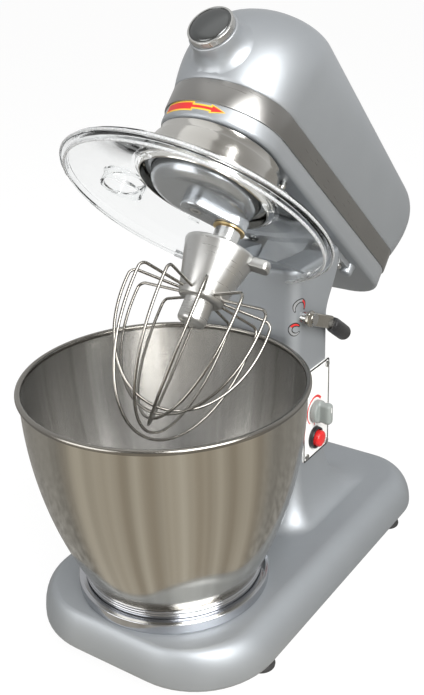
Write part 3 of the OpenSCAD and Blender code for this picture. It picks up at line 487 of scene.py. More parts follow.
class Bench:
    """Modelling steps that the pieces share."""

    @staticmethod
    def clear() -> None:
        """Leave edit mode and deselect everything."""
        if bpy.context.object and bpy.context.object.mode != "OBJECT":
            bpy.ops.object.mode_set(mode="OBJECT")
        bpy.ops.object.select_all(action="DESELECT")

    @staticmethod
    def start(name: str, rim: Sequence[Spot]) -> Piece:
        """Add a circle, move its points to a rim and stay in edit mode.

        Args:
            name: name of the piece.
            rim: one place for each point.

        Returns:
            The new piece.
        """
        Bench.clear()
        bpy.ops.mesh.primitive_circle_add(vertices=len(rim), radius=1.0)
        piece = bpy.context.object
        piece.name = name
        piece.data.name = name
        bpy.ops.object.mode_set(mode="EDIT")
        mesh = bmesh.from_edit_mesh(piece.data)
        for vert, spot in zip(mesh.verts, rim):
            vert.co = Vector(spot) * MM
        bmesh.update_edit_mesh(piece.data)
        return piece

    @staticmethod
    def close(cap: bool) -> None:
        """Merge doubles, turn faces outwards and leave edit mode.

        Args:
            cap: True fills open ends.
        """
        bpy.ops.mesh.select_all(action="SELECT")
        bpy.ops.mesh.remove_doubles(threshold=MERGE)
        if cap:
            bpy.ops.mesh.fill_holes(sides=0)
            bpy.ops.mesh.select_all(action="SELECT")
        bpy.ops.mesh.normals_make_consistent(inside=False)
        bpy.ops.object.mode_set(mode="OBJECT")

    @staticmethod
    def skin(name: str, rings: Sequence[Ring], loop: bool = False) -> Piece:
        """Extrude a rim from ring to ring.

        Args:
            name: name of the piece.
            rings: rings with the same number of points.
            loop: True joins the last ring to the first; otherwise both ends are capped.

        Returns:
            The closed piece.
        """
        rows = list(rings) + ([rings[0]] if loop else [])
        piece = Bench.start(name, rows[0])
        before = [tuple(vert.co) for vert in bmesh.from_edit_mesh(piece.data).verts]
        for row in rows[1:]:
            bpy.ops.mesh.extrude_edges_move()
            mesh = bmesh.from_edit_mesh(piece.data)
            lifted = {tuple(vert.co): vert for vert in mesh.verts if vert.select}
            moved = []
            for spot, place in zip(row, before):
                vert = lifted[place]
                vert.co = Vector(spot) * MM
                moved.append(tuple(vert.co))
            before = moved
            bmesh.update_edit_mesh(piece.data)
        Bench.close(cap=not loop)
        return piece

    @staticmethod
    def spin(
        name: str, profile: Profile, steps: int = 96, ring: bool = False,
        start: float = 0.0, sweep: float = 360.0,
    ) -> Piece:
        """Spin a profile about Z.

        Args:
            name: name of the piece.
            profile: points as radius and height.
            steps: parts in the sweep.
            ring: True if the profile is a closed loop, False if both its ends lie on the axis.
            start: first angle in degrees.
            sweep: how far the profile turns, in degrees.

        Returns:
            The closed piece.
        """
        cos, sin = cosd(start), sind(start)
        piece = Bench.start(name, [(r * cos, r * sin, z) for r, z in profile])
        mesh = bmesh.from_edit_mesh(piece.data)
        mesh.verts.ensure_lookup_table()
        if not ring:
            closing = mesh.edges.get((mesh.verts[0], mesh.verts[-1]))
            mesh.edges.remove(closing)
            bmesh.update_edit_mesh(piece.data)
        bpy.ops.mesh.select_all(action="SELECT")
        bpy.ops.mesh.spin(steps=steps, angle=math.radians(sweep), center=(0, 0, 0), axis=(0, 0, 1))
        Bench.close(cap=sweep < 360)
        return piece

    @staticmethod
    def rod(name: str, path: Profile, radius: float, sides: int = 12) -> Piece:
        """Sweep a round section along a path in the XZ plane.

        Args:
            name: name of the piece.
            path: points as x and z.
            radius: radius of the section.
            sides: points round the section.

        Returns:
            The capped rod.
        """
        rings = []
        last = len(path) - 1
        for i, (x, z) in enumerate(path):
            ahead = Vector(path[min(i + 1, last)]) - Vector(path[max(i - 1, 0)])
            ahead.normalize()
            ring = []
            for k in range(sides):
                turn = 2 * math.pi * k / sides
                across = radius * math.cos(turn)
                ring.append((x + ahead[1] * across, radius * math.sin(turn), z - ahead[0] * across))
            rings.append(ring)
        return Bench.skin(name, rings)

    @staticmethod
    def cut(piece: Piece, tool: Piece) -> None:
        """Cut a tool out of a piece and remove the tool.

        Args:
            piece: the piece that is cut.
            tool: a closed shape.
        """
        Bench.clear()
        bpy.context.view_layer.objects.active = piece
        piece.select_set(True)
        step = piece.modifiers.new("cut", "BOOLEAN")
        step.operation = "DIFFERENCE"
        step.solver = "EXACT"
        step.object = tool
        bpy.ops.object.modifier_apply(modifier=step.name)
        bpy.data.objects.remove(tool, do_unlink=True)

    @staticmethod
    def bore(piece: Piece, place: Matrix, radius: float, depth: float = 12.0) -> None:
        """Bore a round hole.

        Args:
            piece: the piece that is bored.
            place: a place in the wall, with its Z along the hole.
            radius: radius of the hole.
            depth: how far the tool reaches to both sides of the place.
        """
        tool = Bench.spin("bore", [(0, -depth), (radius, -depth), (radius, depth), (0, depth)], 72)
        tool.matrix_world = place
        Bench.cut(piece, tool)

    @staticmethod
    def block(name: str, low: Spot, high: Spot) -> Piece:
        """A box between two corners, used to cut with."""
        rings = [
            [(low[0], low[1], z), (high[0], low[1], z), (high[0], high[1], z), (low[0], high[1], z)]
            for z in (low[2], high[2])
        ]
        return Bench.skin(name, rings)

    @staticmethod
    def dress(
        piece: Piece, place: Matrix, body: str, finish: Finish,
        nodes: Iterable[str] = (), angle: float = 32.0,
    ) -> Piece:
        """Put a piece in its place and give it its finish and its body.

        Args:
            piece: the modelled piece.
            place: where it goes.
            body: the body that it moves with.
            finish: its finish.
            nodes: frame nodes that it stands for.
            angle: edges sharper than this stay sharp.

        Returns:
            The same piece.
        """
        Bench.clear()
        bpy.context.view_layer.objects.active = piece
        piece.select_set(True)
        piece.matrix_world = place
        bpy.ops.object.transform_apply(location=True, rotation=True, scale=True)
        bpy.ops.object.shade_smooth_by_angle(angle=math.radians(angle))
        piece.data.materials.clear()
        piece.data.materials.append(finish.material())
        for node in nodes:
            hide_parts(node)
        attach(piece, body)
        LOG.info("%s on %s in %s", piece.name, body, finish.name)
        return piece


@dataclass
class Base:
    """The painted base and column, its feet and the bowl's seat."""

    half: float = 108.5
    front: float = 90.0
    rear: float = 284.0
    top: float = 58.0
    front_corner: float = 72.0
    rear_corner: float = 52.0
    front_edge: float = 9.0
    side_edge: float = 22.0
    edge_height: float = 30.0
    tuck: float = 8.0
    wall: float = 6.0
    foot_height: float = 20.5
    foot_radius: float = 12.0
    foot_hole: float = 4.5
    foot_recess: float = 7.0
    foot_x: float = 85.5
    foot_front: float = -1.0
    foot_rear: float = 241.0
    column_rear: float = 179.0
    least_corner: float = 4.0
    flare_height: float = 55.0
    flare_side: float = 20.0
    flare_front: float = 26.0
    flare_rear: float = 72.0
    flare_corner: float = 18.0
    hollow_top: float = 205.0
    top_edge: float = 4.0
    column_top: float = 300.0
    lean: float = 22.0
    ear_z: float = 244.0
    ear_rise: float = 46.0
    ear_inside: float = 41.0
    ear_gap: float = 6.0
    slot_half: float = 22.0
    slot_front: float = 121.5
    slot_floor: float = 214.0
    cut_reach: float = 120.0
    seat_radius: float = 80.0
    seat_wall: float = 77.0
    seat_hole: float = 59.0
    lip_radius: float = 73.9
    gland_radius: float = 8.0
    gland_hole: float = 4.0

    def build(self) -> None:
        """Build every piece of the base."""
        self.shell()
        self.feet()
        self.seat()
        self.gland()

    def _plan(self, inset: float, z: float, front: float | None = None) -> Ring:
        """One ring of the base, drawn in by inset, or by front at the front edge."""
        lead = inset if front is None else front
        return outline(
            self.half - inset, lead - self.front, self.rear - inset,
            self.front_corner - inset, self.rear_corner - inset, z,
        )

    def _flare(self, part: float, inset: float) -> Ring:
        """One ring of the column's sweeping foot.

        Args:
            part: 0 on the base to 1 on the column.
            inset: how far the ring is drawn in.

        Returns:
            The ring.
        """
        out, rise = 1 - math.sin(math.pi / 2 * part), 1 - math.cos(math.pi / 2 * part)
        corner = max(COLUMN_CORNER + self.flare_corner * out - inset, self.least_corner)
        half = COLUMN_HALF + self.flare_side * out - inset
        front = COLUMN_FRONT - self.flare_front * out + inset
        rear = self.column_rear + self.flare_rear * out - inset
        return outline(half, front, rear, corner, corner, self.top - inset + self.flare_height * rise)

    def _column(self, inset: float, z: float, lean: float) -> Ring:
        """One ring of the column, drawn in by inset, its rear leaning out."""
        corner = max(COLUMN_CORNER - inset, self.least_corner)
        return outline(
            COLUMN_HALF - inset, COLUMN_FRONT + inset, self.column_rear + lean - inset, corner, corner, z,
        )

    def shell(self) -> None:
        """Skin the casting inside and out, and cut the hinge slot."""
        inner = [self._column(self.wall, self.hollow_top, 0)]
        inner += [self._flare(1 - 0.1 * i, self.wall) for i in range(11)]
        inner += [
            self._plan(self.side_edge + self.wall, self.top - self.wall, self.front_edge + self.wall),
            self._plan(self.wall, self.top - self.edge_height),
            self._plan(self.wall + self.tuck, self.foot_height),
        ]
        sole = self.foot_height
        outer = [self._plan(self.tuck, sole), self._plan(self.tuck - 1.2, sole + 0.6)]
        for a in range(18, 91, 9):
            outer.append(self._plan(self.tuck * (1 - sind(a)), sole + 1.5 + 5.5 * (1 - cosd(a))))
        for a in range(0, 91, 6):
            drawn = 1 - cosd(a)
            z = self.top - self.edge_height * (1 - sind(a))
            outer.append(self._plan(self.side_edge * drawn, z, self.front_edge * drawn))
        outer += [self._flare(0.05 * i, 0) for i in range(21)]
        outer += [self._column(0, self.slot_floor + z, 0) for z in (-60, -20, 6)]
        for t in (0.05, 0.1, 0.2, 0.3, 0.4, 0.5, 0.6, 0.7, 0.8, 0.9, 1.0):
            lean = self.lean * (3 * t ** 2 - 2 * t ** 3)
            outer.append(self._column(0, self.ear_z + self.ear_rise * t, lean))
        edge = self.column_top - self.top_edge
        outer += [self._column(0, edge, self.lean)]
        for a in range(15, 91, 15):
            outer.append(self._column(3 * (1 - cosd(a)), edge + self.top_edge * sind(a), self.lean))
        casting = Bench.skin("base_shell", inner + outer)
        for half, front, low in (
            (self.slot_half, self.slot_front, self.slot_floor),
            (self.ear_inside, self.column_rear + self.ear_gap, self.ear_z),
        ):
            far = (half, front + self.cut_reach, low + self.cut_reach)
            Bench.cut(casting, Bench.block("slot", (-half, front, low), far))
        Bench.bore(casting, STAND.inverted() @ panel(BUTTON_Y, BUTTON_Z), BEZEL_RADIUS + SEAM)
        # The base casting takes the darker copy of the silver paint: painted shade.
        Bench.dress(casting, STAND, "base", SHADED_BASE_PAINT, ["base_casting"])

    def feet(self) -> None:
        """Turn four ribbed rubber feet."""
        top = self.foot_height - SEAM
        r, hole, recess = self.foot_radius, self.foot_hole, self.foot_recess
        profile = [(hole, 4), (recess, 4), (recess, 0.4), (recess + 0.4, 0)]
        profile += near(r, 0, (-0.4, 0), (0.3, 0.5), (0.5, 1.5), (0.2, 3))
        for z in (4.5, 8.0, 11.5, 15.0):
            profile += near(r, z, (-0.6, -0.5), (-1.1, 0), (-0.8, 0.5))
        profile += near(r, top, (-2, -0.4), (-2.4, 0)) + [(hole, top)]
        places = [(x, y) for y in (self.foot_front, self.foot_rear) for x in (self.foot_x, -self.foot_x)]
        for i, (x, y) in enumerate(places):
            foot = Bench.spin(f"rubber_foot_{i + 1}", profile, 64, ring=True)
            Bench.dress(foot, STAND @ shift(x, y, 0), "base", BLACK_RUBBER, ["feet"] if i == 0 else [])

    def seat(self) -> None:
        """Turn the bright ring that holds the bowl, with its lip over the bowl's lugs."""
        place = STAND @ shift(0, 0, self.top)
        r, wall, hole, lip = self.seat_radius, self.seat_wall, self.seat_hole, self.lip_radius
        profile = [(hole, SEAM)] + near(r, 0, (-0.6, SEAM), (-0.4, 0.5), (-0.4, 1.1), (0, 1.5), (0, 8.4))
        profile += arc((r - 0.8, 8.6), 0.8, 10, 80, 4)
        profile += near(wall, 0, (0.2, 10), (0, 9.8), (0, 3.2)) + [(hole, 3)]
        ring = Bench.spin("bowl_seat", profile, 144, ring=True)
        Bench.dress(ring, place, "base", SEAT_STEEL, ["seat_ring"])
        rim = [(lip, 7.9)] + near(wall, 0, (0.1, 7.8), (0.4, 10.05)) + near(lip, 0, (0.4, 10.25), (0, 9.9))
        Bench.dress(Bench.spin("seat_lip", rim, 144, ring=True), place, "base", SEAT_STEEL)

    def gland(self) -> None:
        """Turn the ribbed gland in the rear wall."""
        r, hole = self.gland_radius, self.gland_hole
        profile = [(hole, 0)] + near(r, 0, (0, 0), (0, 13.8), (2.6, 14.2), (3, 14.8))
        for z in (15.6, 17.0):
            profile += near(r, z, (2.6, 0), (2.0, 0.4), (2.3, 0.9))
        profile += near(r, 0, (1.4, 18.8), (0.8, 19.1)) + near(hole, 0, (0.6, 19.1), (0, 18.6))
        low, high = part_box("cord_gland")
        gland = Bench.spin("cord_gland_collar", profile, 48, ring=True)
        middle = Vector(((low[0] + high[0]) / 2, low[1], (low[2] + high[2]) / 2))
        place = Matrix.Translation(middle) @ turned(-90, "X")
        Bench.dress(gland, place, "base", BLACK_PLASTIC, ["cord_gland"])


@dataclass
class Bowl:
    """The spun bowl and its foot ring."""

    rim_radius: float = 115.0
    rim_z: float = 242.0
    wall: float = 1.2
    wall_radius: float = 112.0
    wall_z: float = 235.0
    curve: float = 350.0
    wall_angle: float = -27.02
    corner: float = 22.0
    corner_r: float = 54.2
    corner_z: float = 86.0
    bead: float = 2.4
    foot_radius: float = 73.5
    foot_z: float = 61.4

    def build(self) -> None:
        """Build the bowl and its foot."""
        self.shell()
        self.foot()

    def _side(self, inset: float) -> Profile:
        """The profile of the bowl from its bottom to its wall, drawn in by inset."""
        side = arc((self.corner_r, self.corner_z), self.corner - inset, -90, self.wall_angle, 14)
        return side + arc(
            (self.wall_radius - self.curve, self.wall_z), self.curve - inset, self.wall_angle, 0, 30,
        )[1:]

    def shell(self) -> None:
        """Spin the bowl with its rolled rim."""
        outer = self._side(0)
        inner = self._side(self.wall)
        rim = self.rim_z - self.bead
        middle = (self.rim_radius - self.bead, rim)
        profile = [(0, outer[0][1]), (20, outer[0][1]), (40, outer[0][1])] + outer
        profile += [(self.wall_radius - 0.1, rim - 2.6)] + arc(middle, self.bead, -80, 178, 18)
        profile += [(self.wall_radius - self.wall, rim - 2)] + inner[::-1]
        profile += [(40, inner[0][1]), (20, inner[0][1]), (0, inner[0][1])]
        bowl = Bench.dress(Bench.spin("bowl_shell", profile, 160), STAND, "bowl", SPUN_OUTSIDE, ["bowl"])
        for finish in (SPUN_INSIDE, BRIGHT_STEEL, WIRE_STEEL):
            bowl.data.materials.append(finish.material())
        axis = STAND.translation
        for face in bowl.data.polygons:
            away = face.center - axis
            inward = face.normal.x * away.x + face.normal.y * away.y < 0 or face.normal.z > 0.5
            # The rim bead takes the darker wire steel: painted shade that dims its highlight.
            if face.center.z > (rim - self.bead) * MM:
                face.material_index = 3
            elif inward:
                # Inside faces that point straight up, on the flat bottom, take the brighter steel.
                face.material_index = 2 if face.normal.z > 0.92 else 1

    def foot(self) -> None:
        """Spin the foot ring and its three locking lugs."""
        r, low = self.foot_radius, self.foot_z
        depths = [math.sqrt(self.corner ** 2 - (x - self.corner_r) ** 2) for x in (r, r - 2.5)]
        under = [self.corner_z - depth - 0.3 for depth in depths]
        profile = [(r - 2.3, low), (r - 0.3, low), (r, low + 0.3), (r, under[0] - 4.6)]
        for z in (under[0] - 3.4, under[0] - 1.2):
            profile += arc((r, z), 1.0, -80, 80, 6)
        profile += [(r, under[0]), (r - 2.5, under[1])]
        ring = Bench.spin("bowl_foot", profile, 128, ring=True)
        Bench.dress(ring, STAND, "bowl", SEAT_STEEL, ["bowl_foot_ring"])
        lug = near(r, low, (-1, 0.2), (2.9, 0.2), (3.1, 0.5), (3.1, 2.6), (-1, 2.8))
        for i in range(3):
            piece = Bench.spin(f"bowl_lug_{i + 1}", lug, 20, ring=True, start=LOCK_ANGLES[i] - 15, sweep=30)
            Bench.dress(piece, STAND, "bowl", BRIGHT_STEEL)


@dataclass
class Controls:
    """The plate, knob, stop button and lock lever on the side of the column."""

    plate_y: float = 129.0
    plate_z: float = 115.0
    plate_width: float = 46.0
    plate_height: float = 88.0
    plate_thick: float = 1.5
    knob_y: float = 148.4
    knob_z: float = 160.6
    knob_radius: float = 10.5
    knob_out: float = 2.65
    knob_bar: float = 4.4
    wedge_start: float = -40.0
    wedge_sweep: float = -195.0
    mark_z: float = 148.0
    button_out: float = 4.15
    button_radius: float = 8.0
    lever_y: float = 129.5
    lever_z: float = 257.0
    arm_out: float = 6.0
    boss_radius: float = 7.0
    boss_hole: float = 5.05
    arm_drop: float = 24.0
    grip_drop: float = 36.0
    arm_length: float = 34.0
    arm_tall: float = 11.5
    arm_deep: float = 5.0
    grip_length: float = 34.0
    grip_radius: float = 7.0

    def build(self) -> None:
        """Build the controls."""
        self.plate()
        self.prints()
        self.knob()
        self.button()
        self.lever()
        self.turn_arrows()

    def _sheet(self, inset: float, corner: float, z: float) -> Ring:
        """A rounded rectangle in the plate's own plane, with local X downwards."""
        half, wide = self.plate_height / 2 - inset, self.plate_width / 2 - inset
        return outline(half, -wide, wide, corner, corner, z, steps=6)

    def _middle(self, out: float) -> Matrix:
        """The middle of the plate, a little out from the column."""
        return panel(self.plate_y + self.plate_width / 2, self.plate_z + self.plate_height / 2, out)

    def plate(self) -> None:
        """Model the white plate with rounded corners and edges."""
        t = self.plate_thick
        edges = ((0, 2.5, 0), (0, 2.5, t - 0.4), (0.15, 2.35, t - 0.12), (0.4, 2.1, t))
        plate = Bench.skin("panel_plate", [self._sheet(*edge) for edge in edges])
        Bench.bore(plate, self._middle(SEAM).inverted() @ panel(BUTTON_Y, BUTTON_Z), BEZEL_RADIUS + SEAM)
        Bench.dress(plate, self._middle(SEAM), "base", WHITE_ENAMEL, ["control_plate"])

    def prints(self) -> None:
        """Model the border, the speed wedge and the mark as thin raised prints."""
        up = SEAM + self.plate_thick
        border = [self._sheet(inset, corner, z) for inset, corner, z in (
            (0.1, 2.4, -0.35), (0.1, 2.4, 0.08), (1.7, 1.1, 0.08), (1.7, 1.1, -0.35),
        )]
        Bench.dress(Bench.skin("panel_border", border, loop=True), self._middle(up), "base", BLACK_PRINT)
        wedge = []
        for i in range(41):
            part = i / 40
            a = math.radians(self.wedge_start + self.wedge_sweep * part)
            inner, outer = self.knob_radius + 1.8, self.knob_radius + 2.9 + 1.5 * part
            section = ((inner, -0.05), (outer, -0.05), (outer, 0.08), (inner, 0.08))
            wedge.append([(r * math.cos(a), r * math.sin(a), z) for r, z in section])
        Bench.dress(Bench.skin("speed_wedge", wedge), panel(self.knob_y, self.knob_z, up), "base", RED_PRINT)
        mark = [outline(2.4, -0.7, 0.7, 0.6, 0.6, z, steps=4) for z in (-0.05, 0.08)]
        place = panel(self.knob_y - 0.2, self.mark_z, up)
        Bench.dress(Bench.skin("stop_mark", mark), place, "base", RED_PRINT)

    def knob(self) -> None:
        """Turn the knob's disc and add its tapered grip bar and pointer."""
        r = self.knob_radius
        disc = [(0, 0), (r - 0.4, 0), (r, 0.4), (r, 4.0)]
        disc += arc((r - 1.4, 4.1), 1.4, 0, 80, 5) + [(r - 3, 5.5), (0, 5.5)]
        place = panel(self.knob_y, self.knob_z, self.knob_out)
        Bench.dress(Bench.spin("knob_disc", disc, 96), place, "knob", GREY_PLASTIC, ["speed_knob"])
        rings = []
        for z, inset in (
            (5, -0.6), (6.4, 0.5), (8, 0.6), (11, 0.1), (13.6, 0), (14.8, 0.5), (15.6, 1.2), (16, 2.2),
        ):
            wide, corner = self.knob_bar - inset, self.knob_bar - 1 - inset
            rings.append(outline(r - 0.5 - inset, -wide, wide, corner, corner, z, steps=6))
        Bench.dress(Bench.skin("knob_bar", rings), place, "knob", GREY_PLASTIC)
        line = [outline(2.6, -0.5, 0.5, 0.3, 0.3, z, steps=3) for z in (15.7, 16.06)]
        Bench.dress(Bench.skin("knob_pointer", line), place @ shift(-4.4, 0, 0), "knob", WHITE_ENAMEL)

    def button(self) -> None:
        """Turn the stop button and the bezel round it."""
        r = self.button_radius
        cap = [(0, -2), (r - 0.4, -2), (r - 0.4, 3.6)]
        cap += arc((r - 2.6, 3.8), 2.2, 0, 80, 6) + [(3.5, 6.35), (0, 6.4)]
        place = panel(BUTTON_Y, BUTTON_Z, self.button_out)
        Bench.dress(Bench.spin("stop_button_cap", cap, 72), place, "button", RED_PLASTIC, ["stop_button"])
        inner = r + 0.3
        low = self.plate_thick + 2 * SEAM
        ring = [(inner, -8), (r + 2, -8)] + near(r, low, (2, 0), (2.4, 0), (2.6, 0.4), (2.2, 3))
        ring += arc((r + 1.4, low + 3.1), 0.8, 0, 90, 4) + near(inner, low, (0.5, 4), (0, 3.5))
        bezel = Bench.spin("button_ring", ring, 72, ring=True)
        Bench.dress(bezel, panel(BUTTON_Y, BUTTON_Z), "base", BLACK_PLASTIC, ["button_bezel"])

    def lever(self) -> None:
        """Model the rounded chrome arm and the black grip."""
        root = panel(self.lever_y, self.lever_z, self.arm_out) @ turned(90, "Z")
        along = root @ turned(-self.arm_drop, "Z")
        circle = [(math.cos(k * math.pi / 18), math.sin(k * math.pi / 18)) for k in range(36)]
        squared = [tuple(math.copysign(math.sqrt(abs(v)), v) for v in spot) for spot in circle]
        rings = []
        for spot, share in (
            (-10, 0.4), (-9.7, 0.65), (-8.8, 0.85), (-7, 1), (18, 1), (36, 1), (37.2, 0.9), (37.8, 0.7),
        ):
            tall, deep = self.arm_tall / 2 * share, self.arm_deep / 2 * share
            rings.append([(spot, tall * across, self.arm_deep / 2 + deep * out) for across, out in squared])
        Bench.dress(Bench.skin("lever_strip", rings), along, "lever", POLISHED_STEEL, ["lever_arm"])
        r, hole = self.boss_radius, self.boss_hole
        boss = [(hole, -0.4)] + near(r, 0, (-0.4, -0.4), (0, 0.2), (0, 1.6))
        boss += arc((r - 0.8, 1.8), 0.8, 0, 90, 4) + [(hole, 2.6)]
        Bench.dress(Bench.spin("lever_boss", boss, 64, ring=True), root, "lever", POLISHED_STEEL)
        bend = turned(self.arm_drop - self.grip_drop, "Z")
        down = along @ shift(self.arm_length, 0, self.arm_deep / 2) @ bend @ turned(90, "Y")
        r, length = self.grip_radius, self.grip_length
        grip = [(0, 0)] + near(r, 0, (-2, 0), (-1.3, 0.4), (-0.7, 2), (0, 6))
        grip += [(r + 0.1, length * 0.5), (r, length - 5)]
        grip += arc((r - 4.5, length - 5), 4.5, 10, 75, 6) + [(1.5, length - 0.15), (0, length)]
        handle = Bench.spin("lever_handle", grip, 64)
        Bench.dress(handle, down @ shift(0, 0, 4), "lever", BLACK_PLASTIC, ["lever_grip"])

    def turn_arrows(self) -> None:
        """Model two curled arrows by the lever's shaft as thin prints wrapped round the column's edge."""
        curls = (
            ("turn_arrow_up", (125.5, 267.0), 6.0, 215.0, -35.0),
            ("turn_arrow_down", (120.5, 248.0), 4.4, 330.0, 25.0),
        )
        layers = (
            ("edge", 1.9, 0.0, 1.0, 0.08, BLACK_PRINT),
            ("fill", 1.0, 0.04, 0.6, 0.14, SILVER_PAINT),
            ("tip", 0.8, 0.6, 0.96, 0.14, RED_PRINT),
        )
        for name, centre, radius, start, end in curls:
            for layer, wide, first, last, lift, finish in layers:
                rings = []
                for i in range(33):
                    part = first + (last - first) * i / 32
                    a = math.radians(start + (end - start) * part)
                    half = wide * (0.35 + 0.65 * min(1.0, 4 * part, 4 * (1 - part) + 0.2))
                    rings.append([
                        self._on_column(centre, radius + out, a, up)
                        for out, up in ((-half, -0.3), (half, -0.3), (half, lift), (-half, lift))
                    ])
                Bench.dress(Bench.skin(f"{name}_{layer}", rings), STAND, "base", finish)

    @staticmethod
    def _on_column(centre: tuple[float, float], radius: float, angle: float, lift: float) -> Spot:
        """A place on the panel side of the column or on its rounded front edge.

        Args:
            centre: y and z of the curl's middle.
            radius: distance from the middle.
            angle: direction in radians, from the rear towards the top.
            lift: height over the paint.

        Returns:
            The place.
        """
        y = centre[0] + radius * math.cos(angle)
        z = centre[1] + radius * math.sin(angle)
        edge = COLUMN_FRONT + COLUMN_CORNER
        if y >= edge:
            return (COLUMN_HALF + lift, y, z)
        bend, reach = (edge - y) / COLUMN_CORNER, COLUMN_CORNER + lift
        return (COLUMN_HALF - COLUMN_CORNER + reach * math.cos(bend), edge - reach * math.sin(bend), z)


@dataclass
class Head:
    """The tilting head: casting, cover, band, collar, accessory cap and guard."""

    half: float = 51.0
    nose: float = 51.0
    rear: float = 277.0
    rear_corner: float = 40.0
    under: float = 304.0
    joint: float = 328.0
    top: float = 432.0
    slope: float = 0.065
    under_slope: float = 0.0455
    under_edge: float = 4.0
    band_height: float = 20.0
    band_out: float = 1.4
    bulge: float = 12.0
    side: float = 31.0
    back: float = 34.0
    face: float = 85.0
    start: float = 10.15
    wall: float = 3.5
    cast_wall: float = 4.0
    cast_floor: float = 6.0
    cap_radius: float = 18.5
    plug_radius: float = 13.7
    plug_length: float = 16.0
    neck_wall: float = 1.2
    neck_hole: float = 17.4
    fillet: float = 14.0
    collar_radius: float = 50.0
    collar_flare: float = 4.0
    collar_top: float = 300.8
    collar_bottom: float = 264.8
    collar_step: float = 6.0
    collar_wall: float = 1.4
    guard_rim: float = 111.5
    guard_rim_z: float = 248.0
    guard_inner: float = 55.9
    guard_inner_z: float = 268.8
    guard_wall: float = 2.2
    guard_cut: float = 88.0
    chute_x: float = -74.0
    chute_y: float = -4.0
    chute_radius: float = 18.0
    sign_angles: tuple[float, float, float, float] = (235.0, 267.0, 285.0, 295.0)
    stop_x: float = 36.0
    stop_y: float = 203.0

    def build(self) -> None:
        """Build the head's pieces."""
        self.casting()
        self.boss(self.cover())
        self.band()
        self.cap()
        self.collar()
        self.guard()
        self.arrow()
        self.bumper()

    def _ring(self, out: float, z: float, slope: float) -> Ring:
        """One ring of the head's straight part, grown by out."""
        half, corner = self.half + out, self.rear_corner + out
        return outline(
            half, -self.nose - out, self.rear + out, half * NOSE_ROUND, corner, z, slope, steps=24,
        )

    def _cover_ring(self, a: float, inset: float) -> Ring:
        """One ring of the cover.

        Args:
            a: 0 above the band to 90 at the flat of the top.
            inset: how far the ring is drawn in.

        Returns:
            The ring.
        """
        cos, sin = max(cosd(a), 0.0), sind(a)
        swell = self.bulge * sind(2 * a)
        out = self.band_out - inset + swell
        half = self.half + out - 0.3 * swell - self.side * (1 - cos)
        nose = self.nose + out - self.face * (1 - cos ** 0.9)
        rear = self.rear + out - self.back * (1 - cos ** 0.75)
        z = self.joint + (self.start + (self.top - self.joint - self.start - inset) * sin)
        slope = self.slope * (1 - sin)
        return outline(half, -nose, rear, half * NOSE_ROUND, half * 0.75, z, slope, steps=24)

    def casting(self) -> None:
        """Skin the lower casting, open at the top."""
        rings = []
        for a in range(0, 91, 10):
            drawn = self.under_edge * (1 - sind(a))
            z = self.under + self.under_edge * (1 - cosd(a))
            rings.append(self._ring(-drawn, z, self.under_slope))
        rings += [self._ring(out, self.joint - SEAM, self.slope) for out in (0, -self.cast_wall)]
        rings += [self._ring(-self.cast_wall, self.under + self.cast_floor, self.under_slope)]
        Bench.dress(Bench.skin("head_casting", rings), HEAD, "head", SILVER_PAINT, ["lower_casting"])

    def cover(self) -> Piece:
        """Skin the cover inside and out.

        Returns:
            The cover in its place.
        """
        rings = [self._cover_ring(a, self.wall) for a in (90, 80, 70, 60, 50, 40, 32, 24, 16)]
        rings += [self._ring(-self.wall, self.joint + z, self.slope) for z in (self.start, SEAM)]
        rings += [self._ring(0, self.joint + z, self.slope) for z in (SEAM, self.start - 0.4)]
        rings += [self._ring(self.band_out - 0.4, self.joint + self.start, self.slope)]
        rings += [self._cover_ring(a, 0) for a in (0.4, 2, 4, 6, *range(8, 91, 3)) if a < 90]
        rings += [self._cover_ring(90, 0)]
        cover = Bench.skin("head_cover", rings)
        return Bench.dress(cover, HEAD, "head", SILVER_PAINT, ["top_cover"], angle=38)

    @staticmethod
    def _depth(cover: Piece, radius: float, angle: float) -> float:
        """Find how far the cover lies behind the cap's seat.

        Args:
            cover: the cover in its place.
            radius: distance from the cap's axis.
            angle: direction round that axis, in radians.

        Returns:
            The cover's height along the axis, below 0.
        """
        start = ACCESSORY @ Vector((radius * math.cos(angle) * MM, radius * math.sin(angle) * MM, 60 * MM))
        hit, spot, _, _ = cover.ray_cast(start, ACCESSORY.to_3x3() @ Vector((0, 0, -1)))
        return (ACCESSORY.inverted() @ spot).z / MM if hit else -60.0

    def boss(self, cover: Piece) -> None:
        """Model the neck that carries the cap, swept into the nose with a fillet.

        Args:
            cover: the cover that the fillet runs out on.
        """
        bpy.context.view_layer.update()
        r, hole = self.cap_radius + self.neck_wall, self.neck_hole
        rings = []
        for i in range(120):
            angle = math.tau * i / 120
            foot = self._depth(cover, r, angle)
            reach = min(self.fillet, 0.7 * (-1.5 - foot))
            edge = self._depth(cover, r + reach, angle) - 0.2
            section = [(hole, foot - 8), (hole, -0.4), (hole + 0.2, -0.1)]
            section += near(r, 0, (-0.6, -0.1), (-0.1, -0.4), (0, -1.0))
            for k in range(13):
                t = k / 12
                out = (1 - t) ** 2 * r + 2 * t * (1 - t) * r + t ** 2 * (r + reach)
                section.append((out, (1 - t) ** 2 * (foot + reach) + 2 * t * (1 - t) * foot + t ** 2 * edge))
            section.append((r + reach - 1, edge - 2))
            rings.append([(x * math.cos(angle), x * math.sin(angle), z) for x, z in section])
        Bench.dress(Bench.skin("nose_neck", rings, loop=True), ACCESSORY, "head", SILVER_PAINT, angle=50)

    def band(self) -> None:
        """Skin the satin band over the joint, with fine rounded edges."""
        low, high = self.joint - self.band_height / 2, self.joint + self.band_height / 2
        out = self.band_out
        edge = ((SEAM, 0), (out - 0.5, 0), (out - 0.1, 0.3), (out, 0.8))
        rings = [self._ring(grow, low + up, self.slope) for grow, up in edge]
        rings += [self._ring(grow, high - down, self.slope) for grow, down in reversed(edge)]
        Bench.dress(Bench.skin("joint_band", rings, loop=True), HEAD, "head", SATIN_BAND, ["trim_band"])

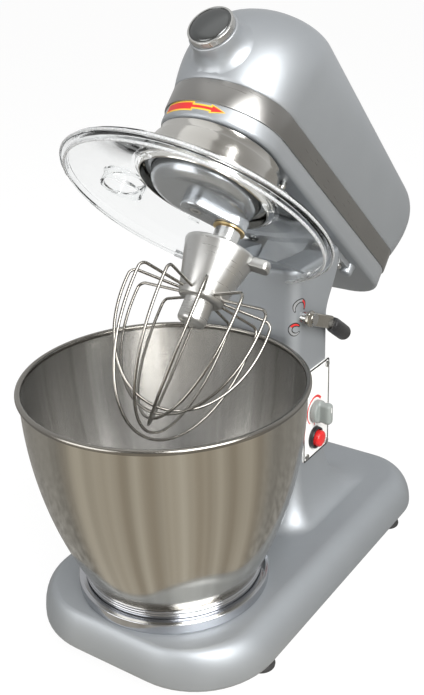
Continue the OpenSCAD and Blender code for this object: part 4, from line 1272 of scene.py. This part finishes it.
    def cap(self) -> None:
        """Turn the cap of the accessory hub, its face in a painted dark reflection and its side satin."""
        r, plug, end = self.cap_radius, self.plug_radius, -self.plug_length
        profile = [(0, end), (plug - 0.5, end), (plug, end + 0.5), (plug, 0.3)]
        profile += near(r, 0, (-0.4, 0.3), (0, 0.7), (0, 4.6)) + arc((r - 0.8, 4.8), 0.8, 0, 90, 5)
        profile += near(r, 0, (-1.6, 5.6), (-2.2, 5.2), (-2.8, 5.4))
        dome = r - 2.8
        profile += [(dome * cosd(t), 5.4 + 2.2 * sind(t)) for t in range(10, 90, 10)]
        profile += [(0, 7.6)]
        piece = Bench.spin("accessory_cap", profile, 96)
        Bench.dress(piece, ACCESSORY, "cap", SATIN_ALUMINIUM, ["hub_cap"])
        piece.data.materials.append(CAP_FACE_PAINTED_DARK.material())
        back = ACCESSORY.inverted()
        # The face takes the painted dark reflection, the rest the satin aluminium.
        for face in piece.data.polygons:
            spot = back @ face.center
            face.material_index = 1 if spot.z > 5.0 * MM and spot.xy.length < (r - 1.9) * MM else 0

    def collar(self) -> None:
        """Turn the bright collar round the drive."""
        r, wall = self.collar_radius, self.collar_wall
        top, low = self.collar_top, self.collar_bottom
        out, step = r + self.collar_flare, top - self.collar_step
        profile = near(r, top, (-wall, 0), (0, 0))
        profile += near(r, step, (0, 0.6), (0.4, -0.3), (1.6, -0.8), (2.3, -1.2), (2.5, -2), (3, -9))
        profile += near(out, low, (-0.2, 8), (0, 6.4), (0, 0.5), (-0.4, 0), (-wall, 0), (-wall, 6.6))
        profile += near(r - wall, step, (2.5, -2.4), (0, -0.6))
        collar = Bench.spin("drive_collar", profile, 144, ring=True)
        Bench.dress(collar, HEAD, "head", POLISHED_COLLAR, ["collar"])

    def guard(self) -> None:
        """Turn the clear guard, cut its rear and its chute, and add the ribs of its rims."""
        r, z, wall = self.guard_rim, self.guard_rim_z, self.guard_wall
        inner, top = self.guard_inner, self.guard_inner_z
        profile = near(inner, top, (0, 2), (0, -1.6), (1.6, -2.2))
        profile += near(r, z, (-6, 3), (-6, -2.6), (-5.6, -3), (-4.4, -3), (-4, -2.6), (-4, 0))
        profile += near(r, z, (-0.4, 0), (0, 0.4), (0, 3.8), (-0.6, 4.6), (-4, 5.4))
        profile += near(inner + wall, top, (0.6, 0.2), (0, 0.8), (0, 2))
        dish = Bench.spin("guard_dish", profile, 144, ring=True)
        low, high = (-150, self.guard_cut, z - 50), (150, self.guard_cut + 100, z + 50)
        Bench.cut(dish, Bench.block("rear", low, high))
        spot = shift(self.chute_x, self.chute_y, 0)
        c = self.chute_radius
        bore = c - wall
        tool = Bench.spin("hole", [(0, z - 30), (bore, z - 30), (bore, z + 70), (0, z + 70)], 64)
        tool.matrix_world = spot
        Bench.cut(dish, tool)
        Bench.dress(dish, HEAD, "head", CLEAR_GUARD, ["splash_guard"])
        tube = near(c, z, (-wall, 12), (0, 9), (0, 19.6), (1, 20.2), (1, 21), (-wall, 21))
        Bench.dress(Bench.spin("guard_chute", tube, 72, ring=True), HEAD @ spot, "head", CLEAR_GUARD)
        opening = math.degrees(math.asin((self.guard_cut - 0.5) / (r - 1)))
        for name, radius, height in (("outer", r - 0.2, z + 2.2), ("inner", r - 5.0, z - 3.0)):
            bead = arc((radius, height), 1.1, 0, 324, 9)
            rib = Bench.spin(
                f"guard_rib_{name}", bead, 128, ring=True, start=180 - opening, sweep=180 + 2 * opening,
            )
            Bench.dress(rib, HEAD, "head", FROSTED_RIM)

    def arrow(self) -> None:
        """Model the turning arrow on the nose of the casting as two thin raised prints."""
        first, neck, head, tip = self.sign_angles
        for layer, grow, lift, finish in (("edge", 1.3, 0.12, YELLOW_PRINT), ("fill", 0.0, 0.24, RED_PRINT)):
            margin = math.degrees(grow / self.half)
            start, length = first - margin, neck - first + 2 * margin
            spots = [(start + length * k / 14, 2.7 + grow) for k in range(15)]
            start, length = neck + margin + 0.2, head - neck - 2 * margin
            spots += [(start + length * k / 8, 1.0 + grow) for k in range(8)]
            spots += [(head - margin, 1.0 + grow)]
            start, length = head - margin + 0.2, tip - head + 2.6 * margin
            spots += [(start + length * k / 6, (2.4 + grow) * (1 - k / 6) + 0.08) for k in range(7)]
            rings = [
                [
                    self._on_nose(a, out, 311.0 - 0.8 * (a - first) / (tip - first) + up)
                    for out, up in ((-0.3, -wide), (lift, -wide), (lift, wide), (-0.3, wide))
                ]
                for a, wide in spots
            ]
            Bench.dress(Bench.skin(f"turn_sign_{layer}", rings), HEAD, "head", finish)

    def _on_nose(self, angle: float, out: float, z: float) -> Spot:
        """A place on the rounded nose.

        Args:
            angle: direction in degrees round the nose.
            out: height over the paint.
            z: height of the place.

        Returns:
            The place.
        """
        radius = self.half * NOSE_ROUND
        side = math.copysign(self.half - radius, cosd(angle))
        x = side + (radius + out) * cosd(angle)
        return (x, radius - self.nose + (radius + out) * sind(angle), z)

    def bumper(self) -> None:
        """Turn the rounded stop under the rear of the head."""
        top = self.under + self.under_slope * self.stop_y + 1
        profile = [(0, top - 11)] + arc((3.4, top - 8.4), 2.6, -88, 0, 6)
        profile += [(6.4, top - 3), (7.4, top - 1), (7.6, top), (0, top)]
        place = HEAD @ shift(self.stop_x, self.stop_y, 0)
        Bench.dress(Bench.spin("rear_stop", profile, 48), place, "head", SILVER_PAINT)


@dataclass
class Drive:
    """What shows of the planetary drive and the whisk on its shaft."""

    hub_radius: float = 44.5
    hub_bottom: float = 258.0
    hub_top: float = 283.0
    hub_round: float = 12.0
    seal_radius: float = 50.8
    bar_half: float = 13.0
    bar_drop: float = 8.0
    screw_socket: Span = (5.5, 4.0)
    shaft_socket: Span = (11.0, 20.0)
    shaft_radius: float = 10.5
    shaft_upper: float = 8.0
    shaft_low: float = 202.0
    shaft_step: float = 248.4
    shaft_top: float = 295.4
    groove_z: float = 236.0
    whisk_top: float = 232.0
    whisk_hub: float = 29.0
    whisk_low: float = 187.0
    nub_low: float = 168.0
    latch_angle: float = -30.0
    latch_half: float = 7.0
    latch_height: float = 8.0
    latch_end: float = 41.5
    leg_z: float = 192.0
    loops: int = 6
    whisk_radius: float = 58.0
    tip_z: float = 76.0
    stagger: float = 4.8
    shoulder: float = 6.0
    wire_radius: float = 1.2
    wire_start: float = 15.0

    def build(self) -> None:
        """Build the drive's visible pieces."""
        self.pot()
        self.seal()
        self.bar()
        self.shaft()
        self.cone()
        self.latch()
        self.wires()

    def pot(self) -> None:
        """Turn the pot that carries the beater's shaft."""
        r, low, top = self.hub_radius, self.hub_bottom, self.hub_top
        profile = [(0, low), (15, low), (r - self.hub_round - 2, low)]
        profile += arc((r - self.hub_round, low + self.hub_round), self.hub_round, -90, 0, 12)
        profile += near(r, top, (0, -6), (0, -0.6), (-0.6, 0), (-5, 0)) + [(r - 5, low + 9), (0, low + 9)]
        Bench.dress(Bench.spin("drive_pot", profile, 128), PLANET, "planet", POT_PAINT, ["planet_hub"])

    def seal(self) -> None:
        """Turn the dust seal that closes the gap between the pot and the collar."""
        r, low = self.hub_radius + 0.8, self.hub_bottom + 13
        profile = near(r, low, (0, 2), (0, 0.4), (0.5, 0), (3, 0.2), (3.5, 0.8))
        profile += near(self.seal_radius, low, (0, 1.2), (0, 2.4))
        Bench.dress(Bench.spin("dust_seal", profile, 128, ring=True), HEAD, "head", POT_PAINT)

    def bar(self) -> None:
        """Model the rounded bar across the bottom of the pot, with its screw socket."""
        low, high = self.hub_bottom - self.bar_drop, self.hub_bottom + 1
        rings = []
        for inset, z in ((1.6, low), (0.7, low + 0.25), (0.2, low + 0.8), (0, low + 1.6), (0, high)):
            half, mid = self.bar_half - inset, ECCENTRICITY / 2
            corner = half * 0.999
            flat = outline(half, -mid - half, mid + half, corner, corner, z, steps=18)
            rings.append([(mid + y, x, level) for x, y, level in flat])
        bar = Bench.skin("drive_bar", rings)
        for x, (radius, depth) in ((0.0, self.screw_socket), (ECCENTRICITY, self.shaft_socket)):
            deep = low + depth
            tool = Bench.spin("socket", [(0, low - 5), (radius, low - 5), (radius, deep), (0, deep)], 48)
            tool.matrix_world = shift(x, 0, 0)
            Bench.cut(bar, tool)
        Bench.dress(bar, PLANET, "planet", POT_PAINT)

    def shaft(self) -> None:
        """Turn the stepped shaft of the beater."""
        r, up, low, step = self.shaft_radius, self.shaft_upper, self.shaft_low, self.shaft_step
        groove, top = self.groove_z, self.shaft_top
        profile = [(0, low), (r - 1, low), (r, low + 1)]
        profile += near(r, groove, (0, 0), (-0.5, 0.4), (-0.5, 2), (0, 2.4))
        profile += near(r, step, (0, -0.6), (-0.6, 0))
        profile += [(up, step), (up, top - 0.9), (up - 0.8, top), (0, top)]
        shaft = Bench.spin("beater_shaft", profile, 72)
        Bench.dress(shaft, BEATER, "agitator", BRIGHT_STEEL, ["agitator_shaft"])

    def cone(self) -> None:
        """Turn the satin cone that holds the wires."""
        r, top, low, nub = self.whisk_hub, self.whisk_top, self.whisk_low, self.nub_low
        hole, floor = self.shaft_radius + 0.05, self.shaft_low - 1
        profile = [(0, nub)] + arc((7.5, nub + 4), 4, -85, 0, 8)
        profile += [(11.5, low - 0.6), (11.8, low - 0.1)] + arc((15, low + 3), 3, -90, -14, 6)
        profile += near(r, top, (-0.3, -3), (0, -1.2), (-0.3, -0.4), (-1, 0))
        profile += [(self.shaft_radius + 1, top), (hole, top - 0.6), (hole, floor), (0, floor)]
        cone = Bench.spin("whisk_cone", profile, 128)
        wide = self.latch_half + 0.2
        slot = Bench.block("groove", (12.5, -wide, top - self.latch_height), (52.5, wide, top + 5))
        slot.matrix_world = turned(self.latch_angle, "Z")
        Bench.cut(cone, slot)
        Bench.dress(cone, BEATER, "agitator", SATIN_ALUMINIUM, ["whisk_hub"])

    def latch(self) -> None:
        """Model the latch's ear with rounded edges."""
        high = self.whisk_top + 0.2
        low = high - self.latch_height
        rings = []
        for inset, z in (
            (1.2, low), (0.4, low + 0.3), (0, low + 1.1), (0, high - 1.1), (0.4, high - 0.3), (1.2, high),
        ):
            half = self.latch_half - inset
            flat = outline(half, 13.5 + inset, self.latch_end - inset, 1.0, half * 0.6, z, steps=10)
            rings.append([(y, -x, height) for x, y, height in flat])
        place = BEATER @ turned(self.latch_angle, "Z")
        Bench.dress(Bench.skin("whisk_ear", rings), place, "agitator", SATIN_ALUMINIUM, ["whisk_latch"])

    def wires(self) -> None:
        """Sweep the six wire loops."""
        low = self.leg_z - self.shoulder
        for i in range(self.loops):
            tip = self.tip_z + self.stagger * i
            half = [(self.wire_start, self.leg_z), (self.wire_start + 18, self.leg_z)]
            half += arc((self.whisk_radius - self.shoulder, low), self.shoulder, 90, 15, 8)
            drop = low - 3 - tip
            for k in range(36):
                a = math.pi / 2 * k / 36
                half.append((self.whisk_radius * math.cos(a), low - 3 - drop * math.sin(a) ** 0.95))
            path = half + [(0, tip)] + [(-x, z) for x, z in reversed(half)]
            wire = Bench.rod(f"whisk_wire_{i + 1}", path, self.wire_radius)
            place = BEATER @ turned(180 * i / self.loops + 15, "Z")
            Bench.dress(wire, place, "agitator", WIRE_STEEL, ["whisk_wires"] if i == 0 else [], angle=60)


class Inside:
    """Finishes of the frame's own nodes that stay shown."""

    finishes: dict[Finish, tuple[str, ...]] = {
        BRIGHT_STEEL: (
            "foot_screws", "seat_screws", "plate_screws", "bracket_screws", "hub_screw", "hinge_pin",
            "lock_shaft", "guard_pin", "spindle", "spindle_bearings", "drive_pin", "bridge_posts",
            "layshaft", "hub_sleeve",
        ),
        GEAR_STEEL: (
            "ring_gear", "main_gear", "layshaft_pinion", "planet_pinion", "large_belt_pulley",
            "motor_pulley",
        ),
        BRONZE: ("planet_bushes", "thrust_washer"),
        COPPER: ("motor_stator", "rotor"),
        CLEAR_GUARD: ("guard_clips",),
        BLACK_RUBBER: ("drive_belt",),
        BLACK_PLASTIC: ("switch_block", "speed_control"),
        SILVER_PAINT: ("hinge_bracket",),
        SATIN_ALUMINIUM: ("bottom_cover",),
    }

    def build(self) -> None:
        """Give each shown node its finish; what is not named is cast."""
        chosen = {node: finish for finish, nodes in self.finishes.items() for node in nodes}
        for name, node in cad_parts.items():
            finish = chosen.get(name, CAST_ALUMINIUM)
            node.data.materials.clear()
            node.data.materials.append(finish.material())
            LOG.info("node %s in %s", name, finish.name)


@dataclass
class Studio:
    """Floor, world, lamps and camera."""

    eye: Spot = (432.06, -553.60, 576.63)
    azimuth: float = 34.843
    pitch: float = 23.889
    roll: float = -1.940
    lens: float = 51.80
    floor_shade: Colour = (0.52, 0.50, 0.46)
    floor_white: Colour = (0.95, 0.95, 0.95)
    floor_glow: float = 1.03
    glow_share: float = 0.9
    streak_tones: tuple[Colour, Colour] = ((0.45, 0.40, 0.33), (0.67, 0.63, 0.55))
    grit_tones: tuple[Colour, Colour] = ((0.22, 0.21, 0.195), (0.50, 0.49, 0.465))
    room_tones: tuple[Colour, Colour] = ((0.9, 0.9, 0.9), (0.30, 0.28, 0.25))
    room_level: float = 0.75

    def build(self) -> None:
        """Set the stage."""
        bpy.context.scene.view_settings.view_transform = "Standard"
        self.floor()
        self.world()
        self.lamps()
        self.camera()

    def floor(self) -> None:
        """Lay a pale floor that keeps the shadow and shows white to the camera."""
        Bench.clear()
        bpy.ops.mesh.primitive_plane_add(size=12.0, location=(0, 0, 0))
        floor = bpy.context.object
        floor.name = "floor"
        paint = bpy.data.materials.new("pale_floor")
        paint.use_nodes = True
        paint.node_tree.nodes.clear()
        graph = Graph(paint.node_tree)
        seen = self._seen(graph)
        diffuse = graph.add("BsdfDiffuse", {"Color": graph.mixed(seen, self.floor_shade, self.floor_white)})
        glow = graph.add("Emission", {"Strength": self.floor_glow})
        pale = graph.blended(graph.worked("MULTIPLY", seen, self.glow_share), diffuse, glow)
        glossy = graph.add("LightPath").outputs["Is Glossy Ray"]
        both = graph.blended(graph.worked("SUBTRACT", glossy, seen), pale, self._mirrored(graph))
        graph.add("OutputMaterial", {"Surface": both.outputs[0]})
        floor.data.materials.append(paint)

    def _mirrored(self, graph: Graph) -> Node:
        """The streaked grey floor that polished steel mirrors, darker to the sides.

        Args:
            graph: the floor's nodes.

        Returns:
            A shader.
        """
        where = graph.add("TexCoord").outputs["Object"]
        around = graph.round_axis(where)
        front = graph.mixed(graph.ranged(graph.noise(around, 5.0, 4.0), CONTRAST), *self.streak_tones)
        sides = graph.mixed(graph.ranged(graph.noise(where, 70.0), CONTRAST), *self.grit_tones)
        share = graph.ranged(self._ahead(graph, around), (0.1, 0.4))
        return graph.add("Emission", {"Color": graph.mixed(share, sides, front)})

    @staticmethod
    def _seen(graph: Graph) -> Socket:
        """A value of 1 for rays from the camera and through glass."""
        light = graph.add("LightPath").outputs
        return graph.worked("MAXIMUM", light["Is Camera Ray"], light["Is Transmission Ray"])

    def _ahead(self, graph: Graph, way: Socket) -> Socket:
        """How far a direction points to the camera's side, from -1 to 1."""
        towards = (sind(self.azimuth), -cosd(self.azimuth), 0.0)
        return graph.vector("DOT_PRODUCT", way, towards).outputs["Value"]

    def world(self) -> None:
        """Make a white backdrop, with a warm grey room on the camera's side for reflections."""
        world = bpy.data.worlds.new("studio")
        bpy.context.scene.world = world
        world.use_nodes = True
        world.node_tree.nodes.clear()
        graph = Graph(world.node_tree)
        where = graph.add("TexCoord").outputs["Generated"]
        ramp = graph.add("ValToRGB", {"Fac": graph.ranged(self._ahead(graph, where), (-1.0, 1.0))})
        for stop, place, tone in zip(ramp.color_ramp.elements, (0.3, 0.8), self.room_tones):
            stop.position = place
            stop.color = (*tone, 1.0)
        room = graph.add("Background", {"Color": ramp.outputs["Color"], "Strength": self.room_level})
        white = graph.add("Background", {"Color": (1.0, 1.0, 1.0, 1.0), "Strength": 1.0})
        both = graph.blended(self._seen(graph), room, white)
        graph.add("OutputWorld", {"Surface": both.outputs[0]})

    def lamps(self) -> None:
        """Hang three soft lamps: a key over the panel side, a fill and a weak top light."""
        for name, place, width, power in (
            ("key", (1.5, -0.8, 1.3), 1.5, 74.0),
            ("fill", (-0.7, -2.0, 0.7), 1.5, 24.0),
            ("top", (-0.3, -0.3, 2.1), 1.4, 3.0),
        ):
            lamp = bpy.data.lights.new(name, "AREA")
            lamp.shape = "SQUARE"
            lamp.size = width
            lamp.energy = power
            hung = bpy.data.objects.new(name, lamp)
            bpy.context.scene.collection.objects.link(hung)
            hung.location = place
            hung.rotation_euler = (Vector((0, 0, 0.25)) - Vector(place)).to_track_quat("-Z", "Y").to_euler()

    def camera(self) -> None:
        """Set the camera at the fitted place and turn."""
        data = bpy.data.cameras.new("camera")
        data.lens = self.lens
        data.sensor_width = 36.0
        data.clip_start = 0.01
        camera = bpy.data.objects.new("camera", data)
        bpy.context.scene.collection.objects.link(camera)
        a, e, r = (math.radians(v) for v in (self.azimuth, self.pitch, self.roll))
        ahead = Vector((-math.sin(a) * math.cos(e), math.cos(a) * math.cos(e), -math.sin(e)))
        right = Vector((math.cos(a), math.sin(a), 0))
        up = right.cross(ahead)
        right, up = right * math.cos(r) + up * math.sin(r), up * math.cos(r) - right * math.sin(r)
        turn = Matrix((right, up, -ahead)).transposed().to_4x4()
        camera.matrix_world = STAND @ shift(*self.eye) @ turn
        bpy.context.scene.camera = camera


def main() -> None:
    """Build the mixer and its stage."""
    logging.basicConfig(level=logging.INFO, format="%(message)s")
    Inside().build()
    for part in (Base(), Bowl(), Controls(), Head(), Drive(), Studio()):
        part.build()
        LOG.info("%s done", type(part).__name__)


if __name__ == "__main__":
    main()
